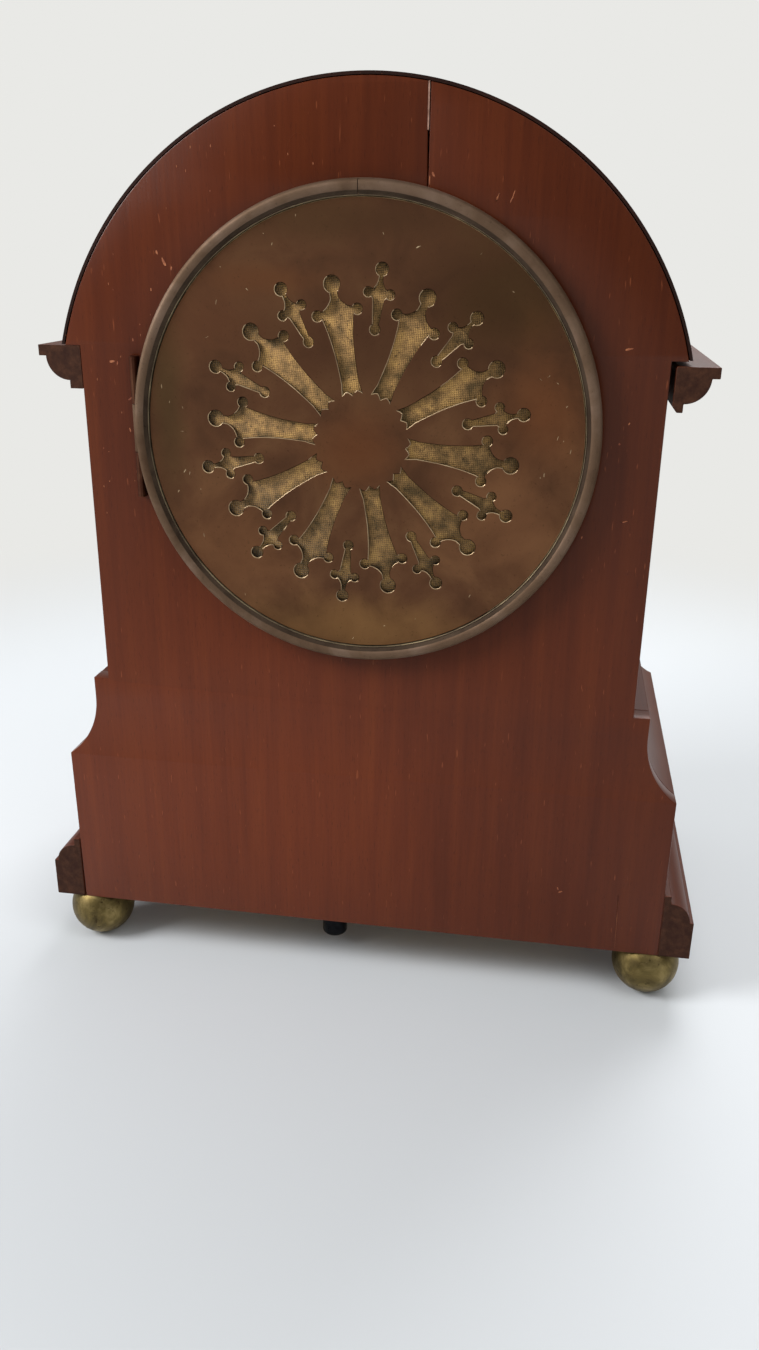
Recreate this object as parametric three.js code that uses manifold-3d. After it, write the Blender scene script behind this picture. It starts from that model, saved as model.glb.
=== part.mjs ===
// A round-topped mahogany shelf clock with a striking, spring-driven movement.
// Millimetres. X runs to the right as seen from the front, Y from the front to the back, Z up from the table.
import * as THREE from "three";
import { mergeVertices } from "three/addons/utils/BufferGeometryUtils.js";
import Module from "manifold-3d";

const wasm = await Module();
wasm.setup();

// ---------------------------------------------------------------- driving dimensions

// Case
const bodyWidth = 165;
const bodyDepth = 98;
const frontBoard = 9;
const backBoard = 6.5;
const sideBoard = 8;
const floorBoard = 9;
const archCentre = 164; // above the underside of the case
const archRadius = 88.9;
const springLine = 185.5; // where the arch starts, above the underside
const liningThick = 5;
const veneerThick = 0.8;
const veneerSprung = 0.8; // how far the veneer has sprung off the boards at its lower ends
const jointGap = 0.15; // glue line at a mitre
const seatGap = 0.3; // clearance between pieces that are fitted into each other

// Coved plinth and base moulding
const plinthHeight = 83;
const plinthProud = 15.5;
const ledgeWidth = 4.9;
const ledgeThick = 7;
const coveRadius = 25.4;
const baseHeight = 22.5;
const baseProud = 10;
const baseBlock = 13.4;
const baseFillet = 2.2;
const baseOvolo = 6.5;

// Capital mouldings at the springing of the arch
const capHeight = 12;
const capProud = 12.7;
const capSlab = 3;
const capStep = 2.1;
const capOvolo = 6.7;
const looseDrop = 1.2; // the right-hand capital, seen from behind, has slipped by this much

// Ball feet
const footRadius = 10.9;
const footHeight = 18;
const footInset = 12.7; // ball centre from the outside of the base moulding
const footBack = 8.5; // ball centre in front of the back plane

// Round back door
const dialCentre = 163.2; // axis of the dial and of the back door, above the underside
const doorRadius = 66.15;
const doorBead = 4.3; // width of the half-round bead
const doorRingThick = 3.8;
const fretThick = 1.1;
const fretSunk = 1.9; // the fret's face below the crest of the bead
const fretDrop = 1.2; // the pierced pattern sits this much below the door's centre
const clothThick = 0.3;
const doorSkirt = 2; // how far the door's skirt enters the fixed ring
const doorSkirtWall = 1.1;
const skirtGap = 0.4;
const fretGap = 0.45; // between the fret's edge and the bead
const fretShelf = 2.4; // width of the shelf that the fret lies on
const ringFlange = 1.2;
const ringFlangeWidth = 6.65;
const ringInset = 1; // the fixed ring's flange inside the door's edge
const ringWall = 1.5;
const ringTail = 3; // how far the fixed ring passes the inside of the back board
const hingeLength = 40;
const hingeInset = 0.15; // hinge axis inside the door's edge
const hingeRise = 1.9; // hinge axis above the back board
const hingeLeaf = 0.5;
const knuckleRadius = 1.1;
const hingePinRadius = 0.45;
const hingeSides = 10;

// Front bezel and dial
const glassBezelRadius = 62;
const glassBezelWidth = 11.4; // from its edge in to the bore of the frame
const glassBezelThick = 7.5;
const bezelWall = 1.4;
const bezelFlangeInset = 1;
const bezelFlangeThick = 1.6;
const bezelHingeLength = 16;
const bezelHingeOut = 0.6; // hinge axis outside the bezel's edge
const glassThick = 1.5;
const glassDome = 4.6;
const dialThick = 1.2;
const dialFootRadius = 1.3;
const dialFootInset = 12.3; // each foot in from the dial's edge
const hourHandInset = 19.3; // each hand's tip in from the dial's edge
const minuteHandInset = 7.3;
const hourBoss = 4.7;
const minuteBoss = 3.4;

// Movement
const plateRadius = 44;
const plateThick = 2;
const plateSpacing = 30;
const pillarRadius = 2.6;
const arborRadius = 1;
const pivotRadius = 0.55;
const barrelSpread = 20.4; // each barrel arbor from the centre line
const barrelDrop = 9;
const barrelModule = 0.9;
const secondModule = 0.8333;
const centreModule = 0.36;
const thirdModule = 0.3;
const strikeModule = 0.47;
const motionPitch = 12; // cannon pinion to minute wheel
const escapeTip = 7.5;
const palletRise = 10.5; // pallet arbor above the escape arbor
const wheelThick = 1.2;
const barrelFace = 3; // width of the barrel's teeth
const barrelStep = 2.6; // the barrel's side in from its pitch circle
const winderRadius = 2;
const winderSquare = 3.2;
const strapWidth = 8;
const strapThick = 1.4;
const strapFoot = 8.4; // the bent end that lies on the plate's ear
const strapGap = 0.5; // outside each strap, to the bore of the fixed ring

// Pendulum
const pendulumLength = 121.5; // suspension to the middle of the bob
const rodRadius = 1;
const bobRadius = 16;
const bobThick = 8;
const springFree = 9; // free length of the suspension spring
const cockReach = 12; // back plate to the plane of the pendulum
const cockWidth = 24;
const cockHeight = 11;
const cockThick = 2;
const cockLeg = 2.4;

// Striking
const gongSide = 11.5; // the gong stand from the centre line
const gongBack = 14.1; // the gong stand in front of the back plane
const gongHeight = 108; // centre of the coil above the underside
const gongRadius = 31;
const gongLoops = 3;
const gongWire = 1.1; // radius of the coiled wire
const gongAhead = 7; // the coil's plane in front of the stand's axis
const standRadius = 3.6;
const studRadius = 2.5;
const nutRadius = 5;
const nutHeight = 13.5;
const standBase = 6.6;
const blockRadius = 5;
const hammerRadius = 3.2;
const hammerLength = 8;

// ---------------------------------------------------------------- derived places

const half = bodyWidth / 2;
const doorProud = ringFlange + seatGap + doorRingThick;
const backY = (bodyDepth + plinthProud + baseProud - doorProud) / 2;
const frontY = backY - bodyDepth;
const innerBackY = backY - backBoard;
const innerFrontY = frontY + frontBoard;
const underside = footHeight;
const dialZ = underside + dialCentre;
const ringFlangeRadius = doorRadius - ringInset;
const ringBore = ringFlangeRadius - ringFlangeWidth;
const ringOuter = ringBore + ringWall;
const fretRadius = doorRadius - doorBead - fretGap;
const doorSkirtRadius = ringBore - skirtGap;
const hingeAxisOut = doorRadius - hingeInset;
const bezelBore = glassBezelRadius - glassBezelWidth;
const bezelFlange = glassBezelRadius - bezelFlangeInset;
const bezelOuter = bezelBore + bezelWall;
const dialRadius = bezelBore - seatGap;
const frontPlateY = innerFrontY;
const betweenY = frontPlateY + plateThick; // rear face of the front plate
const backPlateY = betweenY + plateSpacing;
const behindY = backPlateY + plateThick; // rear face of the back plate
const pendulumY = behindY + cockReach;

// ---------------------------------------------------------------- materials

function finish(colour, roughness, metalness) {
  return new THREE.MeshStandardMaterial({ color: colour, roughness, metalness });
}
const mahogany = finish(0x5c2c1e, 0.35, 0);
const mahoganyMoulding = finish(0x4a2a20, 0.3, 0);
const darkEdge = finish(0x1c1310, 0.5, 0);
const pine = finish(0x9a7a50, 0.8, 0);
const patinatedBrass = finish(0x56382a, 0.5, 0.8);
const beadBrass = finish(0x80604a, 0.45, 0.85);
const footBrass = finish(0x8a7030, 0.4, 0.9);
const brightBrass = finish(0xb8944c, 0.3, 1);
const steel = finish(0x8c8c90, 0.3, 1);
const blueSteel = finish(0x202a44, 0.3, 0.9);
const blackSteel = finish(0x101012, 0.4, 0.7);
const cloth = finish(0x94804a, 0.95, 0);
const enamel = finish(0xf2eee2, 0.25, 0);
const glass = finish(0xe8f0f0, 0.05, 0);

// ---------------------------------------------------------------- solids

const clock = new THREE.Group();
const drum = new THREE.Group(); // everything on the axis of the dial
drum.position.z = dialZ;
clock.add(drum);

function add(name, geometry, material, group = clock) {
  const mesh = new THREE.Mesh(geometry, material);
  mesh.name = name;
  group.add(mesh);
  return mesh;
}

function toSolid(geometry) {
  const bare = geometry.index ? geometry.toNonIndexed() : geometry.clone();
  bare.deleteAttribute("normal");
  bare.deleteAttribute("uv");
  const welded = mergeVertices(bare, 1e-4);
  const index = Array.from(welded.index.array);
  const kept = [];
  for (let i = 0; i < index.length; i += 3) {
    const [a, b, c] = index.slice(i, i + 3);
    if (a !== b && b !== c && c !== a) kept.push(a, b, c);
  }
  const mesh = new wasm.Mesh({
    numProp: 3,
    vertProperties: welded.attributes.position.array,
    triVerts: new Uint32Array(kept),
  });
  return new wasm.Manifold(mesh);
}

function toGeometry(solid) {
  const mesh = solid.getMesh();
  const geometry = new THREE.BufferGeometry();
  geometry.setAttribute("position", new THREE.BufferAttribute(mesh.vertProperties, mesh.numProp));
  geometry.setIndex(new THREE.BufferAttribute(mesh.triVerts, 1));
  return geometry;
}

function join(...geometries) {
  return toGeometry(geometries.map(toSolid).reduce((sum, next) => sum.add(next)));
}

function cut(geometry, ...tools) {
  return toGeometry(tools.map(toSolid).reduce((rest, tool) => rest.subtract(tool), toSolid(geometry)));
}

// A revolve about the Y axis from [radius, y] pairs; the outline may touch the axis or stand clear of it.
function revolve(pairs, segments) {
  const area = pairs.reduce((sum, [r, y], i) => {
    const [r2, y2] = pairs[(i + 1) % pairs.length];
    return sum + r * y2 - r2 * y;
  }, 0);
  const ordered = area > 0 ? pairs : [...pairs].reverse();
  const points = ordered.map(([r, y]) => new THREE.Vector2(r, y));
  const first = points.findIndex((p, i) => p.x === 0 && points.at(i - 1).x === 0);
  if (first >= 0) {
    return new THREE.LatheGeometry([...points.slice(first), ...points.slice(0, first)], segments);
  }
  return new THREE.LatheGeometry([...points, points[0].clone()], segments);
}

function arc(cx, cy, radius, from, to, steps) {
  return Array.from({ length: steps + 1 }, (_, i) => {
    const angle = from + ((to - from) * i) / steps;
    return [cx + radius * Math.cos(angle), cy + radius * Math.sin(angle)];
  });
}

function curve(a, control, b, steps) {
  const bend = new THREE.QuadraticBezierCurve(
    new THREE.Vector2(...a),
    new THREE.Vector2(...control),
    new THREE.Vector2(...b),
  );
  return bend.getPoints(steps).map((p) => [p.x, p.y]);
}

const shapeOf = (pairs) => new THREE.Shape(pairs.map(([x, y]) => new THREE.Vector2(x, y)));
const pathOf = (pairs) => new THREE.Path(pairs.map(([x, y]) => new THREE.Vector2(x, y)));
const circle = (x, z, radius, sides) => arc(x, z, radius, 0, 2 * Math.PI, sides).slice(0, -1);

// An outline in the X-Z plane given depth from y0 back to y1.
function slab(pairs, y0, y1, holes = []) {
  const shape = shapeOf(pairs);
  holes.forEach((hole) => shape.holes.push(pathOf(hole)));
  const geometry = new THREE.ExtrudeGeometry(shape, { depth: y1 - y0, bevelEnabled: false });
  return geometry.rotateX(Math.PI / 2).translate(0, y1, 0);
}

function block(x0, x1, y0, y1, z0, z1) {
  return new THREE.BoxGeometry(x1 - x0, y1 - y0, z1 - z0)
    .translate((x0 + x1) / 2, (y0 + y1) / 2, (z0 + z1) / 2);
}

// A round bar along Y.
function bar(x, z, radius, y0, y1, sides = 10) {
  return slab(circle(x, z, radius, sides), y0, y1);
}

// A moulding: [proud, height] pairs swept straight between two ends, each of which turns proud into [x, y].
function moulding(profile, start, end) {
  const ring = (place) => profile.map(([proud, height]) => {
    const [x, y] = place(proud);
    return [x, y, height];
  });
  const corners = [...ring(start), ...ring(end)];
  const n = profile.length;
  const caps = THREE.ShapeUtils.triangulateShape(profile.map(([p, h]) => new THREE.Vector2(p, h)), []);
  const faces = caps.flatMap(([a, b, c]) => [a, b, c, c + n, b + n, a + n]);
  for (let i = 0; i < n; i++) {
    const j = (i + 1) % n;
    faces.push(j, i, i + n, j, i + n, j + n);
  }
  const geometry = new THREE.BufferGeometry();
  geometry.setAttribute("position", new THREE.Float32BufferAttribute(corners.flat(), 3));
  geometry.setIndex(faces);
  if (toSolid(geometry).volume() > 0) return geometry;
  for (let i = 0; i < faces.length; i += 3) [faces[i], faces[i + 1]] = [faces[i + 1], faces[i]];
  return geometry.setIndex(faces);
}

// ---------------------------------------------------------------- case

const archAngle = (radius, centre, height) => Math.asin((height - centre) / radius);

// Half-outline of the arch from the springing to the crown, and back down mirrored.
function archOutline(radius, centre, from, steps) {
  const start = archAngle(radius, centre, from);
  return arc(0, centre, radius, start, Math.PI - start, steps);
}

const ledgeHeight = plinthHeight - ledgeThick;
const coveEnd = 2 * Math.PI - Math.acos((plinthProud - ledgeWidth - coveRadius) / coveRadius);
const coveLine = arc(ledgeWidth + coveRadius, ledgeHeight, coveRadius, Math.PI, coveEnd, 8);
const plinthProfile = [
  [0, 0],
  [plinthProud, 0],
  ...[...coveLine].reverse(),
  [ledgeWidth, plinthHeight],
  [0, plinthHeight],
];

// The board at the back is one piece: arch, straight sides, ledge, cove and plinth in one outline.
function backOutline() {
  const right = [
    [half + plinthProud, 0],
    ...[...coveLine].reverse().map(([p, h]) => [half + p, h]),
    [half + ledgeWidth, plinthHeight],
    [half, plinthHeight],
    [half, springLine],
  ];
  const left = [...right].reverse().map(([x, z]) => [-x, z]);
  return [...right, ...archOutline(archRadius, archCentre, springLine, 24), ...left]
    .map(([x, z]) => [x, z + underside]);
}

function frontOutline() {
  return [[half, 0], [half, springLine], ...archOutline(archRadius, archCentre, springLine, 24),
    [-half, springLine], [-half, 0]].map(([x, z]) => [x, z + underside]);
}

const ringHole = circle(0, dialZ, ringOuter + seatGap, 36);
add("back_board", slab(backOutline(), innerBackY, backY, [ringHole]), mahogany);
const bezelHole = circle(0, dialZ, bezelOuter + seatGap, 36);
add("front_board", slab(frontOutline(), frontY, innerFrontY, [bezelHole]), mahogany);

for (const [name, side] of [["side_left", -1], ["side_right", 1]]) {
  const inner = side * (half - sideBoard);
  const [x0, x1] = [inner, side * half].sort((a, b) => a - b);
  add(name, block(x0, x1, innerFrontY, innerBackY, underside, underside + springLine), mahogany);
}

const liningOutline = [
  ...archOutline(archRadius, archCentre, springLine, 24),
  ...archOutline(archRadius - liningThick, archCentre, springLine, 24).reverse(),
].map(([x, z]) => [x, z + underside]);
add("arch_lining", slab(liningOutline, innerFrontY, innerBackY), pine);

// The veneer is bent over boards and lining alike; its centre lies a little lower, so its ends stand off.
const veneerInner = archRadius + seatGap + veneerSprung;
const veneerCentre = archCentre - veneerSprung;
const veneerEnd = springLine + seatGap;
const veneerOutline = [
  ...archOutline(veneerInner + veneerThick, veneerCentre, veneerEnd, 24),
  ...archOutline(veneerInner, veneerCentre, veneerEnd, 24).reverse(),
].map(([x, z]) => [x, z + underside]);
add("arch_veneer", slab(veneerOutline, frontY, backY), darkEdge);

const standX = gongSide;
const standY = backY - gongBack;
const floorHalf = half - sideBoard;
const floorUpper = underside + floorBoard;
const floorBlock = block(-floorHalf, floorHalf, innerFrontY, innerBackY, underside, floorUpper);
const studHole = new THREE.CylinderGeometry(studRadius + seatGap, studRadius + seatGap, 4 * floorBoard, 16)
  .rotateX(Math.PI / 2)
  .translate(standX, standY, underside);
add("floor_board", cut(floorBlock, studHole), pine);

// Mouldings: a side runs from the mitre at the front to its square end at the back.
function sideMoulding(name, profile, side, start, squareY, material) {
  const lifted = profile.map(([p, h]) => [p, h + underside]);
  const frontEnd = (p) => [side * (half + start + p), frontY - start - p + jointGap];
  const backEnd = (p) => [side * (half + start + p), squareY];
  add(name, moulding(lifted, frontEnd, backEnd), material);
}
function frontMoulding(name, profile, start, material) {
  const lifted = profile.map(([p, h]) => [p, h + underside]);
  const end = (side) => (p) => [side * (half + start + p - jointGap), frontY - start - p];
  add(name, moulding(lifted, end(-1), end(1)), material);
}
sideMoulding("plinth_left", plinthProfile, -1, 0, innerBackY, mahoganyMoulding);
sideMoulding("plinth_right", plinthProfile, 1, 0, innerBackY, mahoganyMoulding);
frontMoulding("plinth_front", plinthProfile, 0, mahoganyMoulding);

const baseProfile = [
  [0, 0],
  [baseProud, 0],
  [baseProud, baseBlock],
  ...arc(baseFillet, baseBlock, baseOvolo, 0, Math.PI / 2, 5),
  [baseFillet, baseHeight],
  [0, baseHeight],
];
sideMoulding("base_moulding_left", baseProfile, -1, plinthProud, backY, mahoganyMoulding);
sideMoulding("base_moulding_right", baseProfile, 1, plinthProud, backY, mahoganyMoulding);
frontMoulding("base_moulding_front", baseProfile, plinthProud, mahoganyMoulding);

// Capitals: slab, step, quarter round and fillet, running from front to back under the ends of the arch.
const capFillet = capProud - capStep - capOvolo;
const capProfile = [
  [0, 0],
  [0, -capHeight],
  [capFillet, -capHeight],
  ...arc(capFillet, -capSlab, capOvolo, -Math.PI / 2, 0, 5),
  [capProud, -capSlab],
  [capProud, 0],
];
for (const [name, side, slip] of [["impost_left", -1, 1], ["impost_right", 1, 0]]) {
  const shift = slip * seatGap;
  const level = underside + springLine - slip * looseDrop;
  const lifted = capProfile.map(([p, h]) => [p, h + level]);
  const place = (y) => (p) => [side * (half + shift + p), y];
  add(name, moulding(lifted, place(frontY), place(backY)), mahoganyMoulding);
}

// Ball feet: brass balls cut flat where they meet the wood and touch the table on a small flat.
const footFlat = 2;
const footStart = -Math.acos(footFlat / footRadius);
const footTop = Math.asin((footHeight + footRadius * Math.sin(footStart)) / footRadius);
const footBall = arc(0, -footRadius * Math.sin(footStart), footRadius, footStart, footTop, 6);
const footProfile = [[0, 0], ...footBall, [0, footBall.at(-1)[1]]];
const footX = half + plinthProud + baseProud - footInset;
const footFrontY = frontY - plinthProud - baseProud + footInset;
for (const [name, x, y] of [
  ["foot_back_left", -footX, backY - footBack],
  ["foot_back_right", footX, backY - footBack],
  ["foot_front_left", -footX, footFrontY],
  ["foot_front_right", footX, footFrontY],
]) {
  add(name, revolve(footProfile, 12).rotateX(Math.PI / 2).translate(x, y, 0), footBrass);
}

// ---------------------------------------------------------------- back door

const doorSegments = 44;
const flangeY = backY + ringFlange;
const doorY = flangeY + seatGap;
const crestY = doorY + doorRingThick;
const hingeY = backY + hingeRise;

const backRing = revolve([
  [ringBore, innerBackY - ringTail],
  [ringOuter, innerBackY - ringTail],
  [ringOuter, backY],
  [ringFlangeRadius, backY],
  [ringFlangeRadius, flangeY],
  [ringBore, flangeY],
], doorSegments);
function hingeZone(gap, y0, y1) {
  const end = hingeLength / 2 + gap;
  return block(hingeAxisOut - knuckleRadius - gap, doorRadius + 3, y0, y1, -end, end);
}
add("back_ring", cut(backRing, hingeZone(seatGap, backY - 1, flangeY + 1)), patinatedBrass, drum);

const hingeThird = hingeLength / 3;
function knuckle(radius, z0, z1) {
  return new THREE.CylinderGeometry(radius, radius, z1 - z0, hingeSides)
    .rotateX(Math.PI / 2)
    .translate(hingeAxisOut, hingeY, (z0 + z1) / 2);
}
const pinBore = knuckle(hingePinRadius + 0.2, -hingeLength, hingeLength);
// The fixed leaf: a strip on the board, with a knuckle at each end that the strip's edges run up into.
const leafEdge = [hingeAxisOut - knuckleRadius, hingeAxisOut + knuckleRadius];
const leafStrip = block(...leafEdge, backY, backY + hingeLeaf, -hingeLength / 2, hingeLength / 2);
const leafEnds = [-1, 1].flatMap((side) => {
  const ends = [(side * hingeLength) / 2, side * (hingeThird / 2 + seatGap)].sort((a, b) => a - b);
  return [knuckle(knuckleRadius, ...ends), block(...leafEdge, backY, hingeY - 0.3, ...ends)];
});
add("door_hinge_leaf", cut(join(leafStrip, ...leafEnds), pinBore), patinatedBrass, drum);
add("door_hinge_pin", knuckle(hingePinRadius, -hingeLength / 2, hingeLength / 2), steel, drum);

// The door's rim: a half-round bead outside, a shelf inside that carries the fret.
const beadMid = doorRadius - doorBead / 2;
const doorInner = fretRadius - fretShelf;
const shelfY = crestY - fretSunk - fretThick;
const skirtInner = doorSkirtRadius - doorSkirtWall;
const doorProfile = [
  [skirtInner, flangeY - doorSkirt],
  [doorSkirtRadius, flangeY - doorSkirt],
  [doorSkirtRadius, doorY],
  [doorRadius - 0.4, doorY],
  ...arc(beadMid, crestY - doorBead / 2, doorBead / 2, 0, Math.PI, 6),
  [doorRadius - doorBead, shelfY],
  [doorInner, shelfY],
  [doorInner, doorY + 0.3],
  [skirtInner, doorY + 0.3],
];
const doorKnuckle = join(
  knuckle(knuckleRadius, -hingeThird / 2, hingeThird / 2),
  block(doorRadius - doorBead, hingeAxisOut, hingeY, crestY - 1.6, -hingeThird / 2, hingeThird / 2),
);
const rimCut = hingeZone(0.4, doorY - 1, hingeY + knuckleRadius + 0.4);
const doorRim = join(cut(revolve(doorProfile, doorSegments), rimCut), doorKnuckle);
add("door_ring", cut(doorRim, pinBore), beadBrass, drum);

// Piercings, in the back view's own axes: across and outwards from the centre of the pattern.
const degrees = Math.PI / 180;
// The half from the inner end to the outer end, followed by the same half turned over.
function mirrored(right) {
  return [...right, ...right.slice(1, -1).reverse().map(([s, r]) => [-s, r])];
}
function longPiercing() {
  const [eyeAcross, eyeOut, eye] = [5.6, 34.8, 1.4];
  const [tipOut, tip] = [42.2, 2.2];
  const flankEnd = [eyeAcross + eye * Math.cos(212 * degrees), eyeOut + eye * Math.sin(212 * degrees)];
  const neckStart = [eyeAcross + eye * Math.cos(148 * degrees), eyeOut + eye * Math.sin(148 * degrees)];
  return mirrored([
    [0, 12.7],
    [1.35, 13.9],
    [2.75, 13.1],
    [2.35, 15.6],
    ...curve([2.6, 22.5], [3.1, 29.8], flankEnd, 2),
    ...arc(eyeAcross, eyeOut, eye, -110 * degrees, 110 * degrees, 3),
    ...curve(neckStart, [2.1, 36.2], [1, 38.7], 1),
    ...arc(0, tipOut, tip, -62 * degrees, 90 * degrees, 3),
  ]);
}
function shortPiercing() {
  const [eyeAcross, eyeOut, eye] = [3, 39.5, 1.25];
  const [tipOut, tip] = [45.6, 1.7];
  const [footOut, foot] = [30.2, 1.4];
  return mirrored([
    ...arc(0, footOut, foot, -90 * degrees, 55 * degrees, 2),
    [1.5, 38],
    ...arc(eyeAcross, eyeOut, eye, -130 * degrees, 130 * degrees, 3),
    [0.5, 42.6],
    ...arc(0, tipOut, tip, -70 * degrees, 90 * degrees, 2),
  ]);
}
const piercings = 10;
const longStart = -11.2;
const shortStart = 6.8;
function placed(outline, turn) {
  const [s, c] = [Math.sin(turn * degrees), Math.cos(turn * degrees)];
  return outline.map(([across, out]) => [-(out * s + across * c), out * c - across * s - fretDrop]);
}
const fretHoles = Array.from({ length: piercings }, (_, k) => k * (360 / piercings)).flatMap((turn) => [
  placed(longPiercing(), longStart + turn),
  placed(shortPiercing(), shortStart + turn),
]);
const fretY = shelfY + seatGap / 3;
const fretDisc = slab(circle(0, 0, fretRadius, doorSegments), fretY, fretY + fretThick, fretHoles);
add("fret_plate", fretDisc, patinatedBrass, drum);
const clothY = doorY + 0.4;
add("sound_cloth", bar(0, 0, doorInner - seatGap, clothY, clothY + clothThick, 28), cloth, drum);

// ---------------------------------------------------------------- front bezel, glass and dial

const bezelSegments = 32;
const bezelFrontY = frontY - bezelFlangeThick;
const dialFrontY = frontY + seatGap;
const dialBackY = dialFrontY + dialThick;
const bezelTube = revolve([
  [bezelBore, bezelFrontY],
  [bezelFlange, bezelFrontY],
  [bezelFlange, frontY],
  [bezelOuter, frontY],
  [bezelOuter, frontPlateY - seatGap],
  [bezelBore, frontPlateY - seatGap],
], bezelSegments);

// Glass bezel, hinged at the right: a rounded rim with a rebate for the glass behind its lip.
const glassBezelBackY = bezelFrontY - seatGap;
const glassBezelFrontY = glassBezelBackY - glassBezelThick;
const glassSeat = bezelBore + 2;
const lip = bezelBore + 0.6;
const rimRound = 2.6;
const glassBezelAxis = glassBezelRadius + bezelHingeOut;
const bezelKnuckle = 1.3;
const bezelRim = revolve([
  [glassSeat, glassBezelBackY],
  [glassBezelRadius, glassBezelBackY],
  [glassBezelRadius, glassBezelFrontY + rimRound],
  ...arc(glassBezelRadius - rimRound, glassBezelFrontY + rimRound, rimRound, 0, -Math.PI / 2, 3).slice(1),
  [lip, glassBezelFrontY + 1.4],
  [lip, glassBezelFrontY + 3],
  [glassSeat, glassBezelFrontY + 3],
], bezelSegments);
function bezelHinge(radius, z0, z1) {
  return new THREE.CylinderGeometry(radius, radius, z1 - z0, hingeSides)
    .rotateX(Math.PI / 2)
    .translate(glassBezelAxis, glassBezelBackY, (z0 + z1) / 2);
}
const bezelThird = bezelHingeLength / 3;
const bezelPinBore = bezelHinge(hingePinRadius + 0.2, -bezelHingeLength, bezelHingeLength);
const bezelHalf = bezelHingeLength / 2;
const bezelRoom = block(
  glassBezelAxis - bezelKnuckle - 0.4,
  glassBezelRadius + 4,
  glassBezelBackY - bezelKnuckle - 0.4,
  glassBezelBackY + 1,
  -bezelHalf - 0.4,
  bezelHalf + 0.4,
);
const bezelArm = [glassBezelRadius - 2.4, glassBezelAxis, glassBezelBackY - bezelKnuckle, glassBezelBackY];
const bezelMiddle = join(
  bezelHinge(bezelKnuckle, -bezelThird / 2, bezelThird / 2),
  block(...bezelArm, -bezelThird / 2, bezelThird / 2),
);
const bezelEnds = [-1, 1].flatMap((side) => {
  const ends = [side * bezelHalf, side * (bezelThird / 2 + seatGap)].sort((a, b) => a - b);
  const tab = block(bezelFlange - 2, glassBezelAxis, bezelFrontY, bezelFrontY + 1.2, ...ends);
  return [bezelHinge(bezelKnuckle, ...ends), tab];
});
add("bezel_frame", cut(join(bezelTube, ...bezelEnds), bezelPinBore), brightBrass, drum);
add("glass_bezel", cut(join(cut(bezelRim, bezelRoom), bezelMiddle), bezelPinBore), brightBrass, drum);
add("bezel_hinge_pin", bezelHinge(hingePinRadius, -bezelHingeLength / 2, bezelHingeLength / 2), steel, drum);

const glassEdgeY = glassBezelFrontY + 3 + seatGap;
const glassRadius = glassSeat - seatGap;
const domeRadius = (lip * lip + glassDome * glassDome) / (2 * glassDome);
const domeSteps = 2;
const domeArc = (y) => Array.from({ length: domeSteps + 1 }, (_, i) => {
  const r = ((lip - seatGap) * i) / domeSteps;
  return [r, y - glassDome + domeRadius - Math.sqrt(domeRadius * domeRadius - r * r)];
});
add("dial_glass", revolve([
  ...domeArc(glassEdgeY),
  [glassRadius, glassEdgeY],
  [glassRadius, glassEdgeY + glassThick],
  ...domeArc(glassEdgeY + glassThick).reverse(),
], bezelSegments), glass, drum);

const pipeRadius = 3;
const winderHole = winderRadius + 1.2;
const dialDisc = slab(circle(0, 0, dialRadius, bezelSegments), dialFrontY, dialBackY, [
  circle(0, 0, pipeRadius + 0.5, 10),
  circle(barrelSpread, -barrelDrop, winderHole, 10),
  circle(-barrelSpread, -barrelDrop, winderHole, 10),
]);
const dialFootCircle = dialRadius - dialFootInset;
const dialFeet = [90, 210, 330].map((turn) => bar(
  dialFootCircle * Math.cos(turn * degrees),
  dialFootCircle * Math.sin(turn * degrees),
  dialFootRadius,
  dialBackY - 0.5,
  frontPlateY - seatGap,
  8,
));
add("dial", join(dialDisc, ...dialFeet), enamel, drum);

// ---------------------------------------------------------------- wheels

const barrelTeeth = 42;
const secondLeaves = 6;
const secondTeeth = 30;
const centreLeaves = 6;
const centreTeeth = 72;
const thirdLeaves = 6;
const thirdTeeth = 78;
const escapeLeaves = 6;
const escapeTeeth = 33;
const cannonLeaves = 8;
const minuteTeeth = 24;
const minuteLeaves = 6;
const hourTeeth = 24;
const strikeTeeth = 54;
const pinLeaves = 6;
const pinTeeth = 30;
const liftingPins = 10;

// Two wheels in mesh stand half the sum of their teeth, times the module, apart.
const spaced = (module, wheel, pinion) => (module * (wheel + pinion)) / 2;
const polar = ([x, z], distance, turn) => [
  x + distance * Math.cos(turn * degrees),
  z + distance * Math.sin(turn * degrees),
];
// The point at distances ra and rb from a and b, on the left of the way from a to b.
function meeting([ax, az], ra, [bx, bz], rb) {
  const [dx, dz] = [bx - ax, bz - az];
  const d = Math.hypot(dx, dz);
  const along = (ra * ra - rb * rb + d * d) / (2 * d);
  const aside = Math.sqrt(ra * ra - along * along);
  return [ax + (along * dx - aside * dz) / d, az + (along * dz + aside * dx) / d];
}

const centreAt = [0, 0];
const barrelAt = [barrelSpread, -barrelDrop];
const strikeBarrelAt = [-barrelSpread, -barrelDrop];
const secondAt = meeting(
  centreAt,
  spaced(secondModule, secondTeeth, centreLeaves),
  barrelAt,
  spaced(barrelModule, barrelTeeth, secondLeaves),
);
const thirdAt = polar(centreAt, spaced(centreModule, centreTeeth, thirdLeaves), 130);
const thirdPitch = spaced(thirdModule, thirdTeeth, escapeLeaves);
const escapeAt = [0, thirdAt[1] + Math.sqrt(thirdPitch * thirdPitch - thirdAt[0] * thirdAt[0])];
const palletAt = [0, escapeAt[1] + palletRise];
const minuteAt = polar(centreAt, motionPitch, 60);
const strikeAt = polar(strikeBarrelAt, spaced(barrelModule, barrelTeeth, secondLeaves), 105);
const pinWheelAt = polar(strikeAt, spaced(strikeModule, strikeTeeth, pinLeaves), 55);
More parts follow.
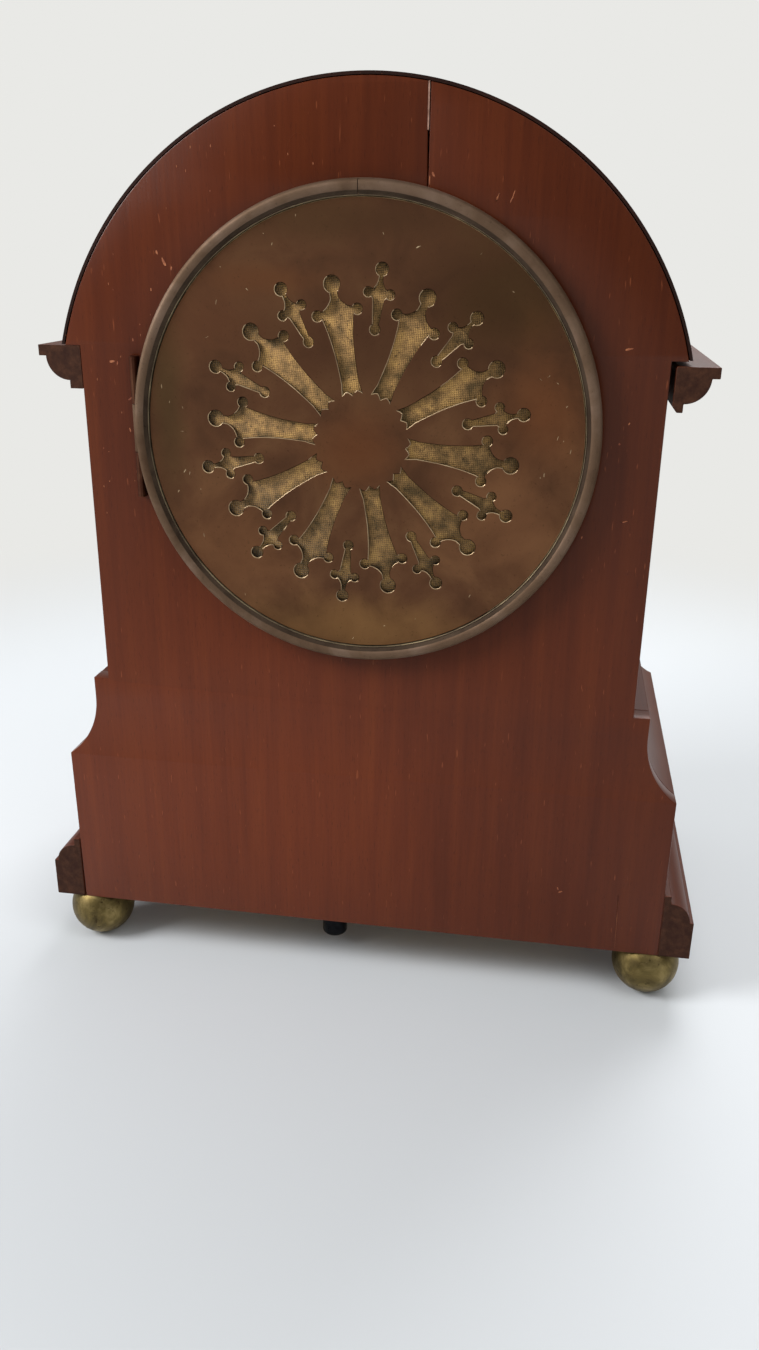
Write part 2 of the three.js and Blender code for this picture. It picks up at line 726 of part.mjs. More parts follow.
const hammerAt = [-27, 31.5];

const heading = (a, b) => Math.atan2(b[1] - a[1], b[0] - a[0]);
// Where a pinion's first leaf must point so that it meshes with a wheel whose first tooth
// points at wheelTurn.
function meshTurn(wheelAt, teeth, wheelTurn, pinionAt, leaves) {
  const way = heading(wheelAt, pinionAt);
  const wheelPhase = ((way - wheelTurn) * teeth) / (2 * Math.PI);
  return way + Math.PI - ((0.5 - wheelPhase) * 2 * Math.PI) / leaves;
}

// Wheel teeth come to a point; a leaf is narrower and has a small land at its tip.
function toothRing([x, z], teeth, module, turn, tooth) {
  const step = (2 * Math.PI) / teeth;
  const pitch = (module * teeth) / 2;
  return Array.from({ length: teeth }, (_, i) => tooth.map(([share, height]) => {
    const angle = turn + (i + share) * step;
    const radius = pitch + height * module;
    return [x + radius * Math.cos(angle), z + radius * Math.sin(angle)];
  })).flat();
}
const wheelTooth = [[0, 0.95], [0.5, -1.35]];
const leafTooth = [[0, 0.75], [0.5 - 0.26, -1.3], [0.5 + 0.26, -1.3]];

// Windows between the crossings of a wheel.
function windows([x, z], inner, outer, count, turn) {
  const share = (2 * Math.PI) / count;
  const armIn = 1.1 / inner;
  const armOut = 1.3 / outer;
  return Array.from({ length: count }, (_, i) => {
    const a = turn + i * share;
    return [
      ...arc(x, z, outer, a + armOut, a + share - armOut, 2),
      ...arc(x, z, inner, a + share - armIn, a + armIn, 1),
    ];
  });
}

function wheel(at, teeth, module, turn, y0, thick = wheelThick, crossings = 4) {
  const pitch = (module * teeth) / 2;
  const holes = crossings ? windows(at, 0.32 * pitch, pitch - 2.6 * module - 1, crossings, turn) : [];
  return slab(toothRing(at, teeth, module, turn, wheelTooth), y0, y0 + thick, holes);
}
function pinion(at, leaves, module, turn, y0, y1) {
  return slab(toothRing(at, leaves, module, turn, leafTooth), y0, y1);
}
// An arbor between the plates, with a pivot in each.
function arbor([x, z], radius = arborRadius) {
  return revolve([
    [0, frontPlateY + 0.4],
    [pivotRadius, frontPlateY + 0.4],
    [pivotRadius, betweenY + seatGap],
    [radius, betweenY + seatGap],
    [radius, backPlateY - seatGap],
    [pivotRadius, backPlateY - seatGap],
    [pivotRadius, behindY - 0.4],
    [0, behindY - 0.4],
  ], 6).translate(x, 0, z);
}

// Layers between the plates, from the rear face of the front plate.
const layer = (depth) => betweenY + depth;
const barrelTeethY = layer(17);
const secondWheelY = layer(22);
const barrelLeaves = [barrelTeethY - 0.5, barrelTeethY + barrelFace + 0.5];
const leavesAcross = (y) => [y - 0.4, y + wheelThick + 0.4];
const centreWheelY = layer(25.4);
const thirdWheelY = layer(27.7);
const escapeWheelY = layer(12);
const pinWheelY = layer(7);

// Going barrel: a drum with teeth round its rear edge, turning on its arbor.
function barrel([x, z], turn) {
  const outer = (barrelModule * barrelTeeth) / 2 - barrelStep;
  const drumBody = revolve([
    [winderRadius + seatGap, layer(1.5)],
    [winderRadius + 3, layer(1.5)],
    [winderRadius + 3, layer(2.5)],
    [outer - 1, layer(2.5)],
    [outer, layer(3.5)],
    [outer, barrelTeethY + 1],
    [winderRadius + seatGap, barrelTeethY + 1],
  ], 24).translate(x, 0, z);
  const ring = toothRing([x, z], barrelTeeth, barrelModule, turn, wheelTooth);
  const bore = circle(x, z, winderRadius + seatGap, 8);
  const teeth = slab(ring, barrelTeethY, barrelTeethY + barrelFace, [bore]);
  const through = bar(x, z, winderRadius + seatGap, layer(0), layer(plateSpacing), 8);
  return cut(join(drumBody, teeth), through);
}
// Winding arbor: turned inside the plates, squared where the key goes on, just behind the dial.
function winder([x, z]) {
  const side = winderSquare / 2;
  return join(
    block(x - side, x + side, dialBackY - 0.6, frontPlateY + 0.5, z - side, z + side),
    bar(x, z, winderRadius, frontPlateY, layer(plateSpacing) - seatGap, 10),
    bar(x, z, pivotRadius * 2, layer(plateSpacing - 1), behindY - 0.4, 8),
  );
}
add("going_barrel", barrel(barrelAt, 0), brightBrass, drum);
add("going_arbor", winder(barrelAt), steel, drum);
add("strike_barrel", barrel(strikeBarrelAt, 0), brightBrass, drum);
add("strike_arbor", winder(strikeBarrelAt), steel, drum);

const secondTurn = meshTurn(barrelAt, barrelTeeth, 0, secondAt, secondLeaves);
add("second_wheel", join(
  arbor(secondAt),
  pinion(secondAt, secondLeaves, barrelModule, secondTurn, ...barrelLeaves),
  wheel(secondAt, secondTeeth, secondModule, 0, secondWheelY),
), brightBrass, drum);

const cannonBore = 1.5;
const centreArbor = 1.2;
const handsY = dialFrontY - 4.2;
const centreTurn = meshTurn(secondAt, secondTeeth, 0, centreAt, centreLeaves);
add("centre_wheel", join(
  bar(0, 0, centreArbor, handsY - 1.6, backPlateY - seatGap, 8),
  bar(0, 0, pivotRadius, backPlateY - 1, behindY - 0.4, 6),
  pinion(centreAt, centreLeaves, secondModule, centreTurn, ...leavesAcross(secondWheelY)),
  wheel(centreAt, centreTeeth, centreModule, 0, centreWheelY),
), brightBrass, drum);

const thirdTurn = meshTurn(centreAt, centreTeeth, 0, thirdAt, thirdLeaves);
add("third_wheel", join(
  arbor(thirdAt, 0.5),
  pinion(thirdAt, thirdLeaves, centreModule, thirdTurn, centreWheelY - 0.4, centreWheelY + wheelThick + 0.4),
  wheel(thirdAt, thirdTeeth, thirdModule, 0, thirdWheelY, 1),
), brightBrass, drum);

// Escape wheel: raked points, clear of the pallets by a small gap.
const escapeTurn = meshTurn(thirdAt, thirdTeeth, 0, escapeAt, escapeLeaves);
const escapePoints = Array.from({ length: escapeTeeth }, (_, i) => {
  const angle = (i * 2 * Math.PI) / escapeTeeth;
  const root = angle + (0.42 * 2 * Math.PI) / escapeTeeth;
  return [
    [escapeAt[0] + escapeTip * Math.cos(angle), escapeAt[1] + escapeTip * Math.sin(angle)],
    [escapeAt[0] + 0.8 * escapeTip * Math.cos(root), escapeAt[1] + 0.8 * escapeTip * Math.sin(root)],
  ];
}).flat();
add("escape_wheel", join(
  arbor(escapeAt, 0.45),
  pinion(escapeAt, escapeLeaves, thirdModule, escapeTurn, thirdWheelY - 0.3, thirdWheelY + 1.3),
  slab(escapePoints, escapeWheelY, escapeWheelY + 0.9),
), brightBrass, drum);

// Pallets: an anchor over the escape wheel on its arbor, with the crutch behind the back plate.
const cockY = behindY + cockReach - 4;
const crutchY = behindY + 3.4;
const crutchDrop = 30;
const nibOut = escapeTip + seatGap + 0.55;
const nibDown = palletRise - Math.sqrt(nibOut * nibOut - 7.4 * 7.4);
const anchorSide = [
  [0, 2.2],
  [3.6, 1.2],
  [8.6, -nibDown + 2.4],
  [7.7, -nibDown - 0.1],
  [6.3, -nibDown + 2],
  [2.4, 0.1 - palletRise + escapeTip + 1.6],
  [0, -palletRise + escapeTip + 1.5],
];
const anchor = mirrored(anchorSide).map(([x, z]) => [x + palletAt[0], z + palletAt[1]]);
const forkGap = rodRadius + 0.35;
const forkZ = palletAt[1] - crutchDrop;
const forkEndY = pendulumY + rodRadius + 1;
add("pallets", join(
  bar(...palletAt, arborRadius, betweenY + seatGap, cockY + 0.9, 8),
  slab(anchor, escapeWheelY - 0.4, escapeWheelY + 1.3),
  block(palletAt[0] - 1, palletAt[0] + 1, crutchY, crutchY + 1, palletAt[1] - crutchDrop, palletAt[1] + 2.2),
  block(-forkGap - 1, forkGap + 1, crutchY, crutchY + 1, forkZ - 1.6, forkZ + 1.6),
  block(-forkGap - 1, -forkGap, crutchY, forkEndY, forkZ - 1, forkZ + 1),
  block(forkGap, forkGap + 1, crutchY, forkEndY, forkZ - 1, forkZ + 1),
), steel, drum);

// Motion work between the dial and the front plate.
const cannonY = frontPlateY - 3;
const hourWheelY = frontPlateY - 5.4;
const cannonModule = (2 * motionPitch) / (cannonLeaves + minuteTeeth);
const hourModule = (2 * motionPitch) / (minuteLeaves + hourTeeth);
const cannonTube = revolve([
  [cannonBore, handsY + 0.4],
  [cannonBore + 0.7, handsY + 0.4],
  [cannonBore + 0.7, frontPlateY - seatGap],
  [cannonBore, frontPlateY - seatGap],
], 8);
const cannonTeeth = toothRing(centreAt, cannonLeaves, cannonModule, 0, leafTooth);
const cannonRing = slab(cannonTeeth, cannonY - 0.4, cannonY + 1.6, [circle(0, 0, cannonBore, 8)]);
add("cannon_pinion", join(cannonTube, cannonRing), steel, drum);

const minuteTurn = Math.PI + heading(minuteAt, centreAt);
const minuteWheelTurn = meshTurn(centreAt, cannonLeaves, 0, minuteAt, minuteTeeth);
const minuteStud = 0.9;
const minuteBore = bar(...minuteAt, minuteStud + seatGap, dialBackY, frontPlateY + 1, 8);
add("minute_wheel", cut(join(
  wheel(minuteAt, minuteTeeth, cannonModule, minuteWheelTurn, cannonY, wheelThick, 0),
  pinion(minuteAt, minuteLeaves, hourModule, minuteTurn, hourWheelY - 0.4, cannonY + 0.2),
), minuteBore), brightBrass, drum);

const pipeBore = cannonBore + 0.7 + seatGap;
const hourHandY = dialFrontY - 1.9;
const hourPipe = revolve([
  [pipeBore, hourHandY],
  [pipeRadius, hourHandY],
  [pipeRadius, hourWheelY + wheelThick],
  [pipeBore, hourWheelY + wheelThick],
], 10);
const hourTurn = meshTurn(minuteAt, minuteLeaves, minuteTurn, centreAt, hourTeeth);
const hourTeethRing = toothRing(centreAt, hourTeeth, hourModule, hourTurn, wheelTooth);
const hourRing = slab(hourTeethRing, hourWheelY, hourWheelY + wheelThick, [circle(0, 0, pipeBore, 10)]);
add("hour_wheel", join(hourPipe, hourRing), brightBrass, drum);

// Hands: pierced pear tips on tapering stems, the hour hand to ten, the minute hand to two minutes past.
function hand(length, boss, bore, turn, y0, y1) {
  const eye = length * 0.13;
  const eyeAt = length * 0.68;
  const right = [
    ...arc(0, 0, boss, -90 * degrees, 70 * degrees, 4),
    [0.75, eyeAt - eye],
    ...arc(0, eyeAt, eye, -62 * degrees, 62 * degrees, 4),
    [0.6, eyeAt + eye],
    [0, length],
  ];
  const outline = mirrored(right);
  const holes = [circle(0, 0, bore, 10), circle(0, eyeAt, eye - 0.9, 6)];
  return slab(outline, y0, y1, holes).rotateY(turn * degrees);
}
const hourHandTurn = 304;
const minuteHandTurn = 48;
const hourReach = dialRadius - hourHandInset;
const hourHand = hand(hourReach, hourBoss, pipeRadius + 0.15, hourHandTurn, hourHandY, hourHandY + 0.9);
add("hour_hand", hourHand, blueSteel, drum);
const minuteReach = dialRadius - minuteHandInset;
const minuteFront = handsY - 0.4;
const minuteHand = hand(minuteReach, minuteBoss, cannonBore + 0.2, minuteHandTurn, minuteFront, handsY + 0.3);
add("minute_hand", minuteHand, blueSteel, drum);
add("hand_nut", revolve([
  [centreArbor + 0.15, handsY - 1.7],
  [2, handsY - 1.7],
  [2.5, handsY - 1.2],
  [2.5, handsY - 0.5],
  [centreArbor + 0.15, handsY - 0.5],
], 10), brightBrass, drum);

// ---------------------------------------------------------------- striking

const strikeTurn = meshTurn(strikeBarrelAt, barrelTeeth, 0, strikeAt, secondLeaves);
const countWheelY = behindY + 1.2;
add("strike_wheel", join(
  arbor(strikeAt),
  pinion(strikeAt, secondLeaves, barrelModule, strikeTurn, ...barrelLeaves),
  wheel(strikeAt, strikeTeeth, strikeModule, 0, secondWheelY),
  bar(...strikeAt, pivotRadius + 0.25, behindY - 0.6, countWheelY + 2, 8),
), brightBrass, drum);

// Count wheel: a locking notch after each hour's strokes, one to twelve, with a stroke for each half hour.
const countRadius = 14;
const countDeep = 2;
const countStrokes = 90;
function countNotches() {
  const starts = [];
  let strokes = 0;
  for (let hour = 1; hour <= 12; hour++) {
    starts.push(strokes);
    strokes += hour + 1;
  }
  const slot = 0.8 / countRadius;
  const floor = (angle) => [
    strikeAt[0] + (countRadius - countDeep) * Math.cos(angle),
    strikeAt[1] + (countRadius - countDeep) * Math.sin(angle),
  ];
  return starts.flatMap((stroke, i) => {
    const from = (stroke * 2 * Math.PI) / countStrokes;
    const to = ((starts[i + 1] ?? countStrokes) * 2 * Math.PI) / countStrokes - slot;
    const steps = Math.max(1, Math.round((to - from) / 0.35));
    return [floor(from), ...arc(...strikeAt, countRadius, from + slot / 8, to, steps), floor(to)];
  });
}
const countBore = circle(...strikeAt, pivotRadius + 0.4, 8);
add("count_wheel", slab(countNotches(), countWheelY, countWheelY + 1, [countBore]), brightBrass, drum);

const pinTurn = meshTurn(strikeAt, strikeTeeth, 0, pinWheelAt, pinLeaves);
const pinCircle = 8;
const pinWheelModule = 0.67;
add("pin_wheel", join(
  arbor(pinWheelAt, 0.8),
  pinion(pinWheelAt, pinLeaves, strikeModule, pinTurn, secondWheelY - 0.4, secondWheelY + wheelThick + 0.4),
  wheel(pinWheelAt, pinTeeth, pinWheelModule, 0, pinWheelY, wheelThick, 0),
  ...Array.from({ length: liftingPins }, (_, i) => {
    const [x, z] = polar(pinWheelAt, pinCircle, (i * 360) / liftingPins);
    return bar(x, z, 0.45, pinWheelY + 1, pinWheelY + 4, 4);
  }),
), brightBrass, drum);

// Gong: one flat spiral of steel wire whose inner end is held in the block at the top of the stand.
const gongZ = gongHeight - dialCentre;
const gongY = standY - gongAhead;
// The wire leaves the block straight and square, bends into the spiral, and then opens out evenly.
const stepsPerLoop = 24;
const straightSteps = 2;
const bendSteps = 4;
const gongSteps = stepsPerLoop * gongLoops + straightSteps + bendSteps;
const gongStart = blockRadius + seatGap;
const straightGrowth = gongWire; // per step, so that two steps make one wire diameter
const bendGrowth = (bendSteps * straightGrowth) / 2;
const growth = (gongRadius - gongStart - straightSteps * straightGrowth - bendGrowth)
  / (gongSteps - straightSteps - bendSteps / 2);
class GongSpiral extends THREE.Curve {
  getUtoTmapping(u) {
    return u; // steps are even in angle, not in length
  }
  getPoint(t, target = new THREE.Vector3()) {
    const step = t * gongSteps;
    const x = Math.min(1, Math.max(0, (step - straightSteps) / bendSteps));
    const eased = bendSteps * (x ** 3 - x ** 4 / 2);
    const beyond = Math.max(0, step - straightSteps - bendSteps);
    const turned = eased + beyond;
    const radius = gongStart + straightGrowth * (Math.min(step, straightSteps) + bendSteps * x - eased)
      + growth * turned;
    const angle = -Math.PI / 2 - (2 * Math.PI * turned) / stepsPerLoop;
    return target.set(standX + radius * Math.cos(angle), gongY, gongZ + radius * Math.sin(angle));
  }
}
const gongPath = new GongSpiral();
const gongTube = new THREE.ExtrudeGeometry(shapeOf(circle(0, 0, gongWire, 6)), {
  steps: gongSteps,
  extrudePath: gongPath,
  bevelEnabled: false,
});
add("gong", gongTube, steel, drum);
const coilPoints = gongPath.getPoints(gongSteps * 2);
const coilGap = Math.min(...coilPoints.flatMap((a, i) =>
  coilPoints.slice(i + stepsPerLoop).map((b) => a.distanceTo(b) - 2 * gongWire)));
console.log("least gap between the gong's loops", coilGap.toFixed(2), "mm");

// Stand: a foot on the floor board, a post, a block for the coil, and the stud that goes down
// through the floor.
const floorTop = floorBoard - dialCentre;
const post = revolve([
  [0, -dialCentre - nutHeight + 5],
  [studRadius, -dialCentre - nutHeight + 5],
  [studRadius, floorTop],
  [standBase, floorTop],
  [standBase, floorTop + 4],
  [standRadius, floorTop + 9],
  [standRadius, gongZ + 4],
  [0, gongZ + 4],
], 12).rotateX(Math.PI / 2).translate(standX, standY, 0);
add("gong_stand", join(post, bar(standX, gongZ, blockRadius, gongY - 2.4, standY, 12)), blackSteel, drum);
const nutBore = studRadius + seatGap;
add("gong_nut", revolve([
  [0, -nutHeight],
  ...arc(0, -nutHeight + nutRadius, nutRadius, -70 * degrees, 0, 4),
  [nutRadius, -2.2],
  [nutRadius + 1.6, -2.2],
  [nutRadius + 1.6, -seatGap / 3],
  [nutBore, -seatGap / 3],
  [nutBore, -nutHeight + 4.4],
  [0, -nutHeight + 4.4],
], 12).rotateX(Math.PI / 2).translate(standX, standY, underside), blackSteel);

// Hammer: its arbor between the plates, a wire arm behind them and a brass head beside the coil's left edge.
const hammerFace = standX - gongRadius - gongWire - 0.45;
const hammerMid = hammerFace - hammerLength / 2;
const armStart = [hammerAt[0], behindY + 5, hammerAt[1]];
const armPath = new THREE.CatmullRomCurve3([
  new THREE.Vector3(...armStart),
  new THREE.Vector3(hammerAt[0], behindY + 5.5, hammerAt[1] - 12),
  new THREE.Vector3((hammerAt[0] + hammerMid) / 2, (behindY + gongY) / 2, (hammerAt[1] + gongZ) / 2),
  new THREE.Vector3(hammerMid, gongY, gongZ + 12),
  new THREE.Vector3(hammerMid, gongY, gongZ),
]);
const armSettings = { steps: 10, extrudePath: armPath, bevelEnabled: false };
const armWire = new THREE.ExtrudeGeometry(shapeOf(circle(0, 0, 0.9, 6)), armSettings);
const tailWay = heading(hammerAt, pinWheelAt) / degrees;
const toPinWheel = Math.hypot(hammerAt[0] - pinWheelAt[0], hammerAt[1] - pinWheelAt[1]);
const tailReach = toPinWheel - pinCircle - 0.45 - 0.4;
const hammerTail = [
  polar(hammerAt, 1.4, tailWay + 90),
  polar(hammerAt, 1.4, tailWay - 90),
  polar(hammerAt, tailReach, tailWay - 10),
  polar(hammerAt, tailReach, tailWay + 10),
];
const headBar = new THREE.CylinderGeometry(hammerRadius, hammerRadius, hammerLength, 14)
  .rotateZ(Math.PI / 2)
  .translate(hammerMid, gongY, gongZ);
add("hammer", join(
  bar(...hammerAt, arborRadius, betweenY + seatGap, behindY + 6.2, 8),
  slab(hammerTail, pinWheelY + 2, pinWheelY + 3.4),
  armWire,
  headBar,
), steel, drum);

// ---------------------------------------------------------------- plates, pillars, straps

const pillarPlaces = [[27.9, 27.9], [-14.8, 36.6], [25, -31], [-25, -31]];
const pivotHole = pivotRadius + 0.4;
const smallPivots = [secondAt, thirdAt, escapeAt, pinWheelAt];
const earWidth = 10;
const strapX = ringBore - strapThick - strapGap;
function plateOutline(eared) {
  const earAngle = Math.asin(earWidth / 2 / plateRadius);
  const ear = strapX + strapThick;
  if (!eared) return circle(0, 0, plateRadius, 28);
  return [
    ...arc(0, 0, plateRadius, earAngle, Math.PI - earAngle, 14),
    [-ear, earWidth / 2],
    [-ear, -earWidth / 2],
    ...arc(0, 0, plateRadius, Math.PI + earAngle, 2 * Math.PI - earAngle, 14),
    [ear, -earWidth / 2],
    [ear, earWidth / 2],
  ];
}
const frontHoles = [
  ...smallPivots.map((at) => circle(...at, pivotHole, 6)),
  circle(...strikeAt, pivotHole, 6),
  circle(0, 0, centreArbor + seatGap, 10),
  circle(...barrelAt, winderRadius + 0.6, 10),
  circle(...strikeBarrelAt, winderRadius + 0.6, 10),
];
const pillars = pillarPlaces.flatMap(([x, z]) => [
  bar(x, z, pillarRadius, betweenY - 0.5, backPlateY, 8),
  bar(x, z, pillarRadius / 2, backPlateY - 1, behindY + 1.2, 6),
]);
const minutePost = bar(...minuteAt, minuteStud, hourWheelY - 0.6, frontPlateY + 0.5, 8);
const frontDisc = slab(plateOutline(true), frontPlateY, betweenY, frontHoles);
add("front_plate", join(frontDisc, ...pillars, minutePost), brightBrass, drum);

const backHoles = [
  ...smallPivots.map((at) => circle(...at, pivotHole, 6)),
  circle(...strikeAt, pivotHole + 0.3, 8),
  circle(0, 0, pivotHole, 6),
  circle(...barrelAt, pivotRadius * 2 + seatGap, 8),
  circle(...strikeBarrelAt, pivotRadius * 2 + seatGap, 8),
  circle(...palletAt, arborRadius + 0.5, 8),
  circle(...hammerAt, arborRadius + seatGap, 8),
  ...pillarPlaces.map(([x, z]) => circle(x, z, pillarRadius / 2 + seatGap, 6)),
];
add("back_plate", slab(plateOutline(false), backPlateY, behindY, backHoles), brightBrass, drum);

// Straps: from the ears of the front plate back to the inside of the fixed ring of the back door.
const strapEndY = innerBackY + backBoard - 2.5;
for (const [name, side] of [["strap_left", -1], ["strap_right", 1]]) {
  const bars = [
    [strapX, strapX + strapThick, betweenY, strapEndY],
    [strapX + strapThick - strapFoot, strapX + strapThick, betweenY, betweenY + strapThick],
  ].map(([x0, x1, y0, y1]) => {
    const [a, b] = [side * x0, side * x1].sort((p, q) => p - q);
    return block(a, b, y0, y1, -strapWidth / 2, strapWidth / 2);
  });
  add(name, join(...bars), steel, drum);
}

// Back cock: a bridge screwed to the back plate, with the suspension block on its rear.
const cockHalf = cockWidth / 2;
const cockLow = palletAt[1] - 0.36 * cockHeight;
const cockHigh = cockLow + cockHeight;
const bridge = [-1, 1].map((side) => {
  const [a, b] = [side * (cockHalf - cockLeg), side * cockHalf].sort((p, q) => p - q);
  return block(a, b, behindY, cockY + cockThick, cockLow, cockHigh);
});
const cockBar = block(-cockHalf, cockHalf, cockY, cockY + cockThick, cockLow, cockHigh);
const cockPivot = bar(...palletAt, arborRadius + 0.4, cockY - 1, cockY + 1.2, 8);
const suspensionBlock = block(-3, 3, cockY + 1, pendulumY + 3, palletAt[1] + seatGap, palletAt[1] + 6);
add("back_cock", join(cut(join(...bridge, cockBar), cockPivot), suspensionBlock), brightBrass, drum);

// Pendulum: hung on a thin strip at the height of the pallet arbor, so rod and crutch turn about one line.
const springTop = palletAt[1];
const springLow = springTop - springFree;
add("suspension_spring", join(
  block(-0.2, 0.2, pendulumY - 1.6, pendulumY + 1.6, springLow, springTop),
  block(-1.2, 1.2, pendulumY - 2.2, pendulumY + 2.2, springLow - 2.5, springLow),
), steel, drum);
const bobZ = palletAt[1] - pendulumLength;
const rodTop = springLow - 2.5 - seatGap;
const rodLow = bobZ - bobRadius - 7;
const rod = revolve([
  [0, rodLow],
  [rodRadius, rodLow],
  [rodRadius, rodLow + 1.5],
  [3, rodLow + 1.5],
  [3, bobZ - bobRadius - seatGap],
  [rodRadius, bobZ - bobRadius - seatGap],
  [rodRadius, rodTop],
  [0, rodTop],
], 10).rotateX(Math.PI / 2).translate(0, pendulumY, 0);
add("pendulum_rod", rod, steel, drum);
const bobEdge = 1;
const bobBulge = (bobRadius * bobRadius + (bobThick / 2 - bobEdge) ** 2) / (2 * (bobThick / 2 - bobEdge));
const lensFace = Array.from({ length: 4 }, (_, i) => {
  const r = (bobRadius * i) / 3;
  return [r, bobThick / 2 - bobBulge + Math.sqrt(bobBulge * bobBulge - r * r)];
});
const lens = revolve([...lensFace, ...lensFace.map(([r, y]) => [r, -y]).reverse()], 20)
  .translate(0, pendulumY, bobZ);
const bobBore = new THREE.CylinderGeometry(rodRadius + seatGap, rodRadius + seatGap, 3 * bobRadius, 10)
  .rotateX(Math.PI / 2)
  .translate(0, pendulumY, bobZ);
add("pendulum_bob", cut(lens, bobBore), brightBrass, drum);

export default clock;
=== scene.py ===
import random
from math import acos, asin, atan2, cos, pi, radians, sin, sqrt

import bmesh
import bpy
from mathutils import Matrix, Vector, noise


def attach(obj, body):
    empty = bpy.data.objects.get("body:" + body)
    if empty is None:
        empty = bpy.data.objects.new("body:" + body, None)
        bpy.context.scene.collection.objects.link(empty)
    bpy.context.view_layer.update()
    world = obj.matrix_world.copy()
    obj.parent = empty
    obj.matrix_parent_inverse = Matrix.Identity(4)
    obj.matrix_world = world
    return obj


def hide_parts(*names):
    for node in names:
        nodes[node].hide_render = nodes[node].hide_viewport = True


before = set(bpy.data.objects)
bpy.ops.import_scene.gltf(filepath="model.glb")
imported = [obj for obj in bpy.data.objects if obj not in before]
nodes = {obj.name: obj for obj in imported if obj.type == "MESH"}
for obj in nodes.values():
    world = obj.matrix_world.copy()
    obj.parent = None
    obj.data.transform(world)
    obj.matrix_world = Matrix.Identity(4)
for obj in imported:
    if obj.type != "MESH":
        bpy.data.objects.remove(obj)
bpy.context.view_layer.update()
mm = 0.001  # pieces are made in millimetres and brought to metres when they are finished
print("stage: frame loaded")

# Places in the clock's own frame, in millimetres
place = {
    "underside": 18, "dialZ": 181.2, "half": 82.5,
    "frontY": -38.9, "innerFrontY": -29.9, "innerBackY": 52.6, "backY": 59.1,
}
underside, dialZ, half = place["underside"], place["dialZ"], place["half"]
frontY, innerFrontY = place["frontY"], place["innerFrontY"]
innerBackY, backY = place["innerBackY"], place["backY"]


# an sRGB hex value as linear light
def linear(code):
    parts = [int(code[i:i + 2], 16) / 255 for i in (0, 2, 4)]
    return (*(c / 12.92 if c <= 0.04045 else ((c + 0.055) / 1.055) ** 2.4 for c in parts), 1)


# how often a pattern of a size in millimetres fits into a metre
def perMetre(size):
    return 1 / (size * mm)


# Camera, floor and light

view = {
    "place": (-53.8, 362.7, 229.8),
    "right": (-0.9868, -0.1617, 0.0121),
    "up": (0.0703, -0.3593, 0.9306),
    "lens": 28.78, "sensor": 36,
}
right = Vector(view["right"]).normalized()
up = Vector(view["up"]).normalized()
back = right.cross(up).normalized()
up = back.cross(right)
cameraData = bpy.data.cameras.new("camera")
cameraData.lens = view["lens"]
cameraData.sensor_width = view["sensor"]
cameraData.clip_start = 0.01
camera = bpy.data.objects.new("camera", cameraData)
turn = Matrix((right, up, back)).transposed().to_4x4()
camera.matrix_world = Matrix.Translation(Vector(view["place"]) * mm) @ turn
bpy.context.scene.collection.objects.link(camera)
bpy.context.scene.camera = camera
bpy.context.scene.view_settings.view_transform = "Standard"


def addNode(tree, kind, links=None, stops=(), **settings):
    made = tree.nodes.new("ShaderNode" + kind)
    for key, value in settings.items():
        setattr(made, key, value)
    for socket, value in (links or {}).items():
        if isinstance(value, bpy.types.NodeSocket):
            tree.links.new(value, made.inputs[socket])
        else:
            made.inputs[socket].default_value = value
    for i, (position, code) in enumerate(stops):
        ramp = made.color_ramp.elements
        stop = ramp[i] if i < 2 else ramp.new(position)
        stop.position = position
        stop.color = linear(code)
    return made


def newMaterial(name, surface):
    material = bpy.data.materials.new(name)
    material.use_nodes = True
    shader = material.node_tree.nodes["Principled BSDF"]
    for socket, value in surface.items():
        shader.inputs[socket].default_value = value
    return material, material.node_tree, shader


studio = {
    "backdrop": "e9e9e6", "floor": "ccd0d4", "floorSize": 6.0, "fadeFrom": 0.26, "fadeTo": 0.58,  # metres
    "skyLight": 0.54, "brightSide": 0.5, "darkSide": 0.14,  # the camera's side is darker in reflections
    # each lamp's place in mm, its power in watts and its size in metres, all turned to the clock's middle
    "key": ((700, 400, 640), 8.4, 0.4), "fill": ((-520, 380, 820), 2.4, 0.6),
    "front": ((-120, -480, 760), 5.5, 0.5), "middle": (0, 0, 140),
}


